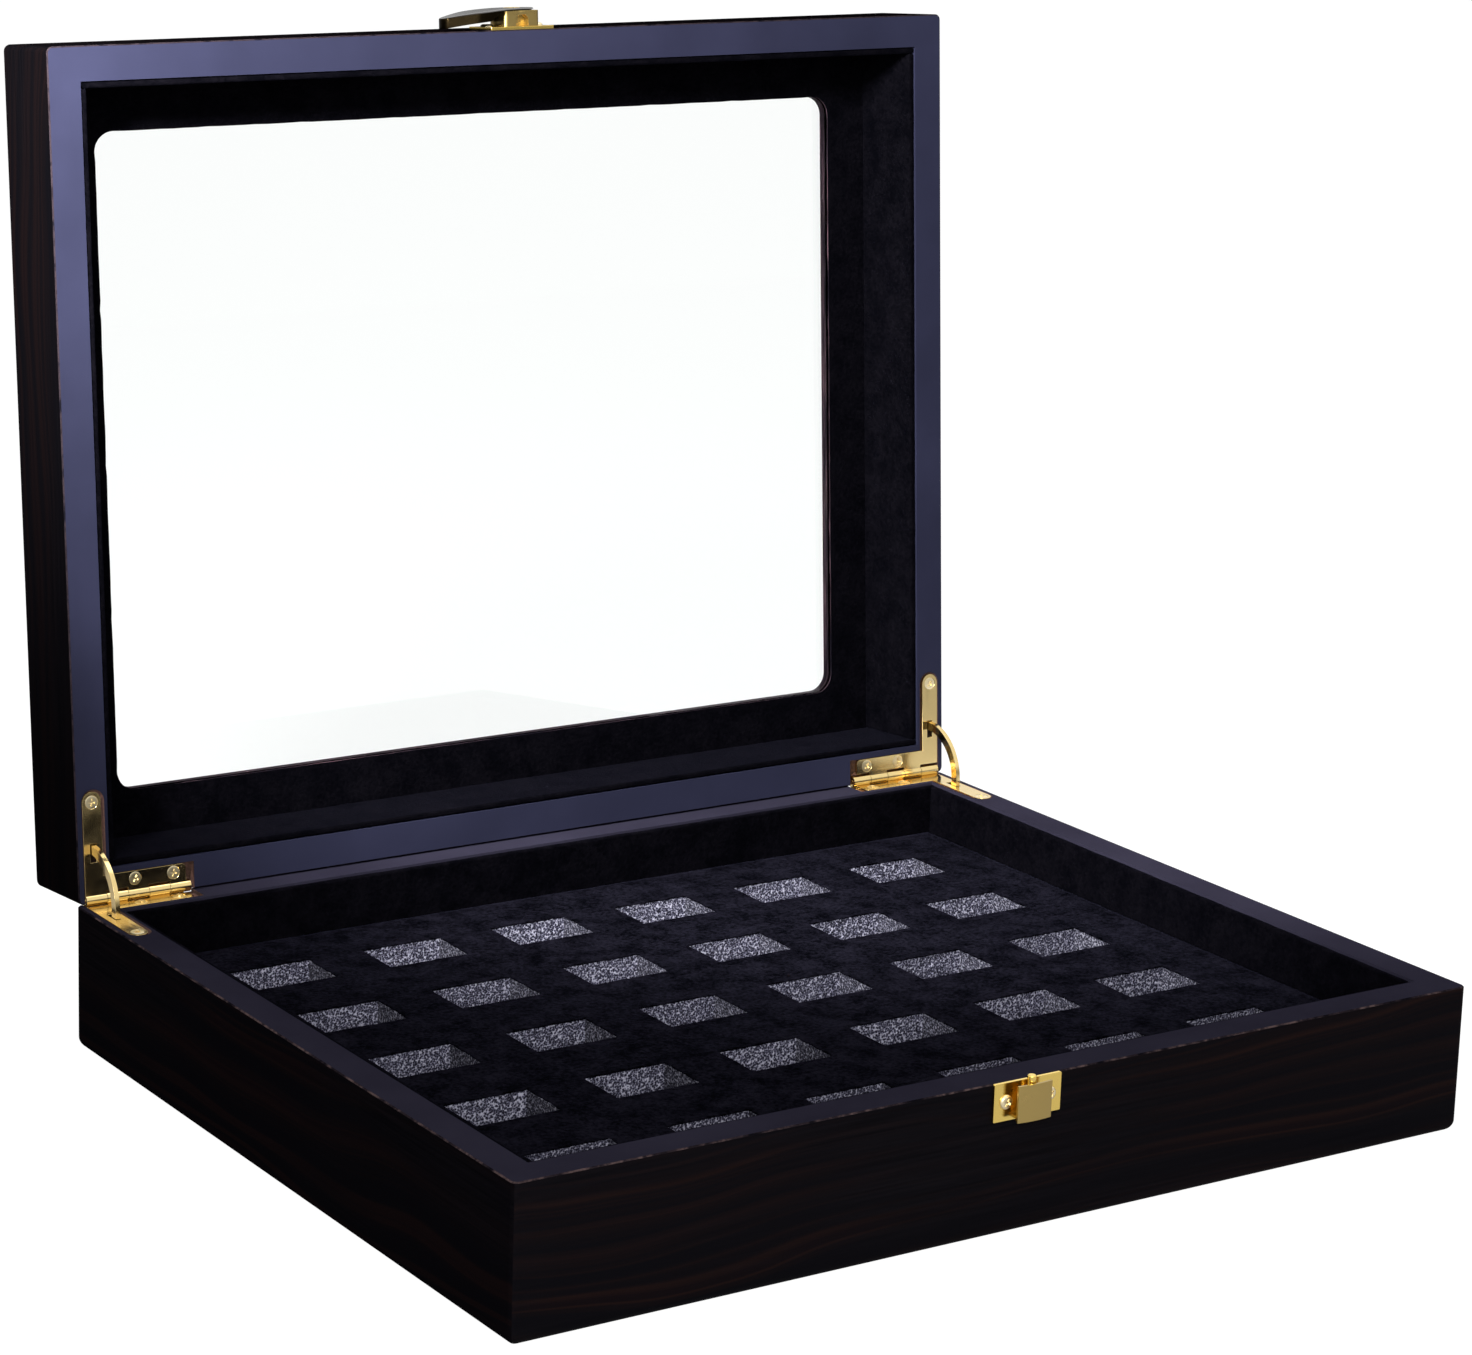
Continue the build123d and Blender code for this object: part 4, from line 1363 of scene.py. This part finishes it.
@dataclass
class ScrewSet:
    """Cross-recessed screws, set by Geometry Nodes at their places in the wood."""

    head_radius_mm: float = 2.2
    dome_mm: float = 0.12
    pan_mm: float = 0.9
    skirt_mm: float = 1.0
    seat_mm: float = 0.02
    sunk_mm: float = 0.02
    flat_share: float = 0.55
    tip_share: float = 0.45
    rings: int = 6
    sides: int = 40
    recess_mm: float = 0.55
    recess_arm_mm: float = 1.25
    recess_width_mm: float = 0.62
    sharp_degrees: float = 35.0

    def profile(self, pan: bool) -> list[tuple[float, float]]:
        """Half section of a head: a flat middle, a rounded shoulder, and a skirt or a seat.

        Args:
            pan: whether it is a pan head, and not a countersunk one.

        Returns:
            Distance from the axis and height below the top for each ring, in millimetres.
        """
        rise = self.pan_mm if pan else self.dome_mm
        radius = self.head_radius_mm
        flat = self.flat_share
        steps = range(1, self.rings + 1)
        section = [(flat * k / self.rings * radius, 0.0) for k in steps]
        for k in steps:
            turn = math.pi / 2 * k / self.rings
            section.append((radius * (flat + (1 - flat) * math.sin(turn)), -rise * (1 - math.cos(turn))))
        if pan:
            return section + [(radius, -rise - self.seat_mm)]
        return section + [(radius * self.tip_share, -rise - self.skirt_mm)]

    def blank(self, name: str, pan: bool) -> bpy.types.Object:
        """A head without its recess.

        Args:
            name: the object's name.
            pan: whether it is a pan head.

        Returns:
            The object.
        """
        shape = bmesh.new()
        angles = [2 * math.pi * n / self.sides for n in range(self.sides)]
        rows = [
            [
                shape.verts.new((away * MM * math.cos(angle), away * MM * math.sin(angle), height * MM))
                for angle in angles
            ]
            for away, height in self.profile(pan)
        ]
        shape.faces.new(rows[0])
        for inner, outer in zip(rows, rows[1:]):
            for n in range(self.sides):
                after = (n + 1) % self.sides
                shape.faces.new((inner[n], outer[n], outer[after], inner[after]))
        shape.faces.new(list(reversed(rows[-1])))
        bmesh.ops.recalc_face_normals(shape, faces=shape.faces)
        return linked(name, mesh_of(name, shape))

    def cross(self) -> bpy.types.Object:
        """The solid that cuts a cross recess, as one cross-shaped prism."""
        arm, flank = self.recess_arm_mm, self.recess_width_mm / 2
        corners = [
            (flank, arm), (-flank, arm), (-flank, flank), (-arm, flank), (-arm, -flank), (-flank, -flank),
            (-flank, -arm), (flank, -arm), (flank, -flank), (arm, -flank), (arm, flank), (flank, flank),
        ]
        shape = bmesh.new()
        upper, lower = (
            [shape.verts.new((x * MM, y * MM, z * MM)) for x, y in corners]
            for z in (self.recess_mm, -self.recess_mm)
        )
        shape.faces.new(upper)
        shape.faces.new(list(reversed(lower)))
        for n in range(len(corners)):
            after = (n + 1) % len(corners)
            shape.faces.new((upper[n], lower[n], lower[after], upper[after]))
        bmesh.ops.recalc_face_normals(shape, faces=shape.faces)
        return linked("cross_recess", mesh_of("cross_recess", shape))

    def head(self, pan: bool) -> bpy.types.Object:
        """One screw head with a cross recess, its top at the origin and pointing along +Z.

        Args:
            pan: whether it is a pan head, and not a countersunk one.

        Returns:
            The object.
        """
        head = self.blank("pan_head" if pan else "countersunk_head", pan)
        cutter = self.cross()
        cut = head.modifiers.new("recess", "BOOLEAN")
        cut.operation = "DIFFERENCE"
        cut.solver = "EXACT"
        cut.object = cutter
        depsgraph = bpy.context.evaluated_depsgraph_get()
        cut_mesh = bpy.data.meshes.new_from_object(head.evaluated_get(depsgraph))
        head.modifiers.remove(cut)
        head.data = cut_mesh
        bpy.data.objects.remove(cutter)
        return head

    def tree(self, head: bpy.types.Object, finish: Finish, seed: int) -> bpy.types.GeometryNodeTree:
        """A tree that sets one head on each point, turned by a seeded angle about its own axis.

        Args:
            head: the screw head.
            finish: its plating.
            seed: the seed of the turns.

        Returns:
            The tree.
        """
        tree = bpy.data.node_groups.new("screws_on_points", "GeometryNodeTree")
        tree.interface.new_socket("Geometry", in_out="INPUT", socket_type="NodeSocketGeometry")
        largest = tree.interface.new_socket("Largest turn", in_out="INPUT", socket_type="NodeSocketFloat")
        largest.default_value = math.pi / 2
        tree.interface.new_socket("Geometry", in_out="OUTPUT", socket_type="NodeSocketGeometry")
        source = add_node(tree, "NodeGroupInput")
        shape = add_node(tree, "GeometryNodeObjectInfo", {"Object": head})
        normal = add_node(tree, "GeometryNodeInputNamedAttribute", {"Name": "facing"}, data_type="FLOAT_VECTOR")
        aim = add_node(
            tree, "FunctionNodeAlignRotationToVector", {"Vector": normal.outputs["Attribute"]}, axis="Z"
        )
        turn = add_node(
            tree, "FunctionNodeRandomValue", {"Max": source.outputs["Largest turn"], "Seed": seed},
            data_type="FLOAT",
        )
        spin = add_node(tree, "ShaderNodeCombineXYZ", {"Z": turn.outputs["Value"]})
        rotation = add_node(
            tree,
            "FunctionNodeRotateRotation",
            {"Rotation": aim.outputs["Rotation"], "Rotate By": spin.outputs["Vector"]},
            rotation_space="LOCAL",
        )
        points = add_node(
            tree,
            "GeometryNodeInstanceOnPoints",
            {
                "Points": source.outputs["Geometry"],
                "Instance": shape.outputs["Geometry"],
                "Rotation": rotation.outputs["Rotation"],
            },
        )
        real = add_node(tree, "GeometryNodeRealizeInstances", {"Geometry": points.outputs["Instances"]})
        painted = add_node(
            tree, "GeometryNodeSetMaterial",
            {"Geometry": real.outputs["Geometry"], "Material": finish.material()},
        )
        add_node(tree, "NodeGroupOutput", {"Geometry": painted.outputs["Geometry"]})
        return tree

    def set_screws(
        self, node: str, half: Half, body: str, head: bpy.types.Object, finish: Finish, seed: int
    ) -> None:
        """Replace a node's plain screws by cross-recessed ones at the same places.

        Args:
            node: the screws' CAD node.
            half: the half of the box that they are on.
            body: the moving body that carries them.
            head: the screw head to set.
            finish: its plating.
            seed: the seed of the turns.
        """
        solid = DRESSER.copy(node, half)
        towards = Vector((0, -1, 0)) if node.startswith("clasp") else Vector(
            (0, 0, 1 if half is Half.BASE else -1)
        )
        tops = []
        for island in self.islands(solid):
            best = max(vert.co.dot(towards) for vert in island)
            cap = [vert.co for vert in island if vert.co.dot(towards) > best - 0.01 * MM]
            tops.append(sum(cap, Vector()) / len(cap))
        solid.free()
        sunk = self.sunk_mm * MM
        mesh = bpy.data.meshes.new(f"{node}_places")
        mesh.from_pydata([half.turn @ (top - towards * sunk) for top in tops], [], [])
        facing = mesh.attributes.new("facing", "FLOAT_VECTOR", "POINT")
        aim = half.turn.to_3x3() @ towards
        facing.data.foreach_set("vector", [value for _ in tops for value in aim])
        places = linked(f"{node}_set", mesh)
        nodes = places.modifiers.new("screws", "NODES")
        tree = self.tree(head, finish, seed)
        nodes.node_group = tree
        identifier = next(
            item.identifier for item in tree.interface.items_tree
            if item.item_type == "SOCKET" and item.name == "Largest turn"
        )
        nodes[identifier] = math.pi / 2
        depsgraph = bpy.context.evaluated_depsgraph_get()
        made = bpy.data.meshes.new_from_object(places.evaluated_get(depsgraph))
        places.modifiers.remove(nodes)
        places.data = made
        made.polygons.foreach_set("use_smooth", [True] * len(made.polygons))
        made.set_sharp_from_angle(angle=math.radians(self.sharp_degrees))
        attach(places, body)
        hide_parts(node)
        LOG.info("set %d screws of %s", len(tops), node)

    def islands(self, shape: bmesh.types.BMesh) -> list[list[bmesh.types.BMVert]]:
        """The separate solids of a mesh, in the order of its points, so that each screw keeps its turn.

        Args:
            shape: the mesh.

        Returns:
            The points of each solid.
        """
        left = dict.fromkeys(shape.verts)
        found = []
        while left:
            stack = [next(iter(left))]
            del left[stack[0]]
            island = []
            while stack:
                vert = stack.pop()
                island.append(vert)
                for edge in vert.link_edges:
                    other = edge.other_vert(vert)
                    if other in left:
                        del left[other]
                        stack.append(other)
            found.append(island)
        return found

    def build(self) -> None:
        """Set the screws of both hinges and of the clasp."""
        finish = {half: GoldBrass(f"plated_screws_{half.value}", half, "#f2e2b8", 0.3, 0.1) for half in Half}
        sunk = self.head(False)
        pan = self.head(True)
        seed = 1
        for side in ("left", "right"):
            for half in Half:
                seed += 1
                self.set_screws(f"{side}_hinge_{half.value}_screws", half, half.value, sunk, finish[half], seed)
        for half in Half:
            seed += 1
            self.set_screws(f"clasp_{half.value}_screws", half, half.value, pan, finish[half], seed)
        for head in (sunk, pan):
            bpy.data.objects.remove(head)


@dataclass
class Studio:
    """The camera at the photograph's viewing angle, a white floor and soft light."""

    image_width: int = 1472
    image_height: int = 1355
    focal_pixels: float = 4105.2
    middle_x: float = 592.0
    middle_y: float = 582.3
    eye_mm: tuple[float, float, float] = (-698.3, -1001.5, 447.6)
    heading_degrees: float = 32.314
    pitch_degrees: float = -13.19
    roll_degrees: float = 1.392
    spot_degrees: float = 76.0
    spot_blend: float = 0.5
    spot_radius: float = 0.04
    white_level: float = 1.12
    fill_level: float = 0.32
    low_mirror_level: float = 0.25
    mirror_rise: tuple[float, float] = (0.08, 0.24)
    floor_glow: float = 0.88

    def camera(self) -> None:
        """Place the camera that was fitted to the photograph."""
        data = bpy.data.cameras.new("photo_camera")
        data.sensor_fit = "HORIZONTAL"
        data.sensor_width = 36.0
        data.lens = self.focal_pixels * data.sensor_width / self.image_width
        data.shift_x = (self.image_width / 2 - self.middle_x) / self.image_width
        data.shift_y = -(self.image_height / 2 - self.middle_y) / self.image_width
        heading, pitch, roll = (
            math.radians(v) for v in (self.heading_degrees, self.pitch_degrees, self.roll_degrees)
        )
        forward = Vector((
            math.cos(pitch) * math.sin(heading), math.cos(pitch) * math.cos(heading), math.sin(pitch)
        ))
        level = Vector((math.cos(heading), -math.sin(heading), 0.0))
        upright = level.cross(forward)
        right = level * math.cos(roll) + upright * math.sin(roll)
        up = upright * math.cos(roll) - level * math.sin(roll)
        matrix = Matrix((right, up, -forward)).transposed().to_4x4()
        matrix.translation = Vector(self.eye_mm) * MM
        made = linked("photo_camera", data)
        made.matrix_world = matrix
        bpy.context.scene.camera = made

    def light(self, name: str, place: tuple[float, float, float], size: float, watts: float) -> None:
        """Add a square soft light that faces the case.

        Args:
            name: the light's name.
            place: where it hangs, in metres.
            size: its side, in metres.
            watts: its power.
        """
        data = bpy.data.lights.new(name, "AREA")
        data.shape = "SQUARE"
        data.size = size
        data.energy = watts
        made = linked(name, data)
        made.location = place
        aim = Vector((0.0, 0.05, 0.12)) - Vector(place)
        made.rotation_euler = aim.to_track_quat("-Z", "Y").to_euler()

    def spot(
        self, name: str, place: tuple[float, float, float], aim: tuple[float, float, float], watts: float
    ) -> None:
        """Add a soft-edged spot lamp that rakes the open lid's rim from the upper left.

        Args:
            name: the lamp's name.
            place: where it hangs, in metres.
            aim: the point that it faces.
            watts: its power.
        """
        data = bpy.data.lights.new(name, "SPOT")
        data.energy = watts
        data.spot_size = math.radians(self.spot_degrees)
        data.spot_blend = self.spot_blend
        data.shadow_soft_size = self.spot_radius
        made = linked(name, data)
        made.location = place
        made.rotation_euler = (Vector(aim) - Vector(place)).to_track_quat("-Z", "Y").to_euler()
        made.visible_camera = False

    def seen_directly(self, tree: bpy.types.NodeTree) -> tuple[bpy.types.Node, bpy.types.NodeSocket]:
        """Tell rays from the camera, straight or through the glass, from all the others.

        Args:
            tree: the tree that gets the two nodes.

        Returns:
            The node of the ray's kinds, and a value of one for rays from the camera.
        """
        path = add_node(tree, "ShaderNodeLightPath")
        seen = add_node(
            tree, "ShaderNodeMath",
            {0: path.outputs["Is Camera Ray"], 1: path.outputs["Is Transmission Ray"]}, operation="MAXIMUM",
        )
        return path, seen.outputs[0]

    def world(self) -> None:
        """White to the camera, to reflections and through glass, and a mild fill for everything else."""
        world = bpy.data.worlds.new("white_room")
        bpy.context.scene.world = world
        world.use_nodes = True
        tree = world.node_tree
        path, seen = self.seen_directly(tree)
        direction = add_node(tree, "ShaderNodeTexCoord")
        height = add_node(tree, "ShaderNodeSeparateXYZ", {"Vector": direction.outputs["Generated"]})
        above = add_node(
            tree, "ShaderNodeMapRange",
            {
                "Value": height.outputs["Z"],
                "From Min": self.mirror_rise[0],
                "From Max": self.mirror_rise[1],
                "To Min": self.low_mirror_level,
                "To Max": self.white_level,
            },
        )
        plain = add_node(
            tree, "ShaderNodeMapRange",
            {"Value": seen, "To Min": self.fill_level, "To Max": self.white_level},
        )
        mirrored = add_node(
            tree, "ShaderNodeMath",
            {0: above.outputs["Result"], 1: path.outputs["Is Glossy Ray"]}, operation="MULTIPLY",
        )
        strength = add_node(
            tree, "ShaderNodeMath", {0: plain.outputs["Result"], 1: mirrored.outputs[0]}, operation="MAXIMUM",
        )
        feed(tree, tree.nodes["Background"], {"Color": (1.0, 1.0, 1.0, 1.0), "Strength": strength.outputs[0]})

    def floor(self) -> None:
        """A wide white floor that shows a faint shadow."""
        shape = bmesh.new()
        bmesh.ops.create_grid(shape, x_segments=1, y_segments=1, size=6.0)
        mesh = mesh_of("studio_floor", shape)
        paint = bpy.data.materials.new("white_floor_paint")
        paint.use_nodes = True
        tree = paint.node_tree
        shader = tree.nodes["Principled BSDF"]
        feed(tree, shader, {
            "Base Color": linear("#f4f4f6"), "Roughness": 1.0, "Specular IOR Level": 0.0
        })
        _, seen = self.seen_directly(tree)
        share = add_node(tree, "ShaderNodeMath", {0: seen, 1: self.floor_glow}, operation="MULTIPLY")
        glow = add_node(
            tree, "ShaderNodeEmission", {"Color": (1.0, 1.0, 1.0, 1.0), "Strength": self.white_level}
        )
        mixed = add_node(
            tree, "ShaderNodeMixShader",
            {"Fac": share.outputs[0], 1: shader.outputs["BSDF"], 2: glow.outputs["Emission"]},
        )
        feed(tree, tree.nodes["Material Output"], {"Surface": mixed.outputs["Shader"]})
        mesh.materials.append(paint)
        made = linked("studio_floor", mesh)

    def build(self) -> None:
        """Set up the camera, the light and the floor."""
        self.camera()
        self.light("front_softbox", (-0.95, -1.35, 0.85), 0.9, 17.0)
        self.light("top_softbox", (0.35, 0.1, 1.5), 1.0, 5.0)
        self.spot("lid_spot", (-0.36, -0.04, 0.44), (0.02, 0.15, 0.30), 38.0)
        self.world()
        self.floor()
        bpy.context.scene.view_settings.view_transform = "Standard"


def main() -> None:
    """Build every piece, then the studio, and note the size of the result."""
    logging.basicConfig(level=logging.INFO, format="%(name)s: %(message)s")
    Carcase().build()
    Linings().build()
    FoamTray().build()
    Fittings().build()
    ScrewSet().build()
    Studio().build()


if __name__ == "__main__":
    main()
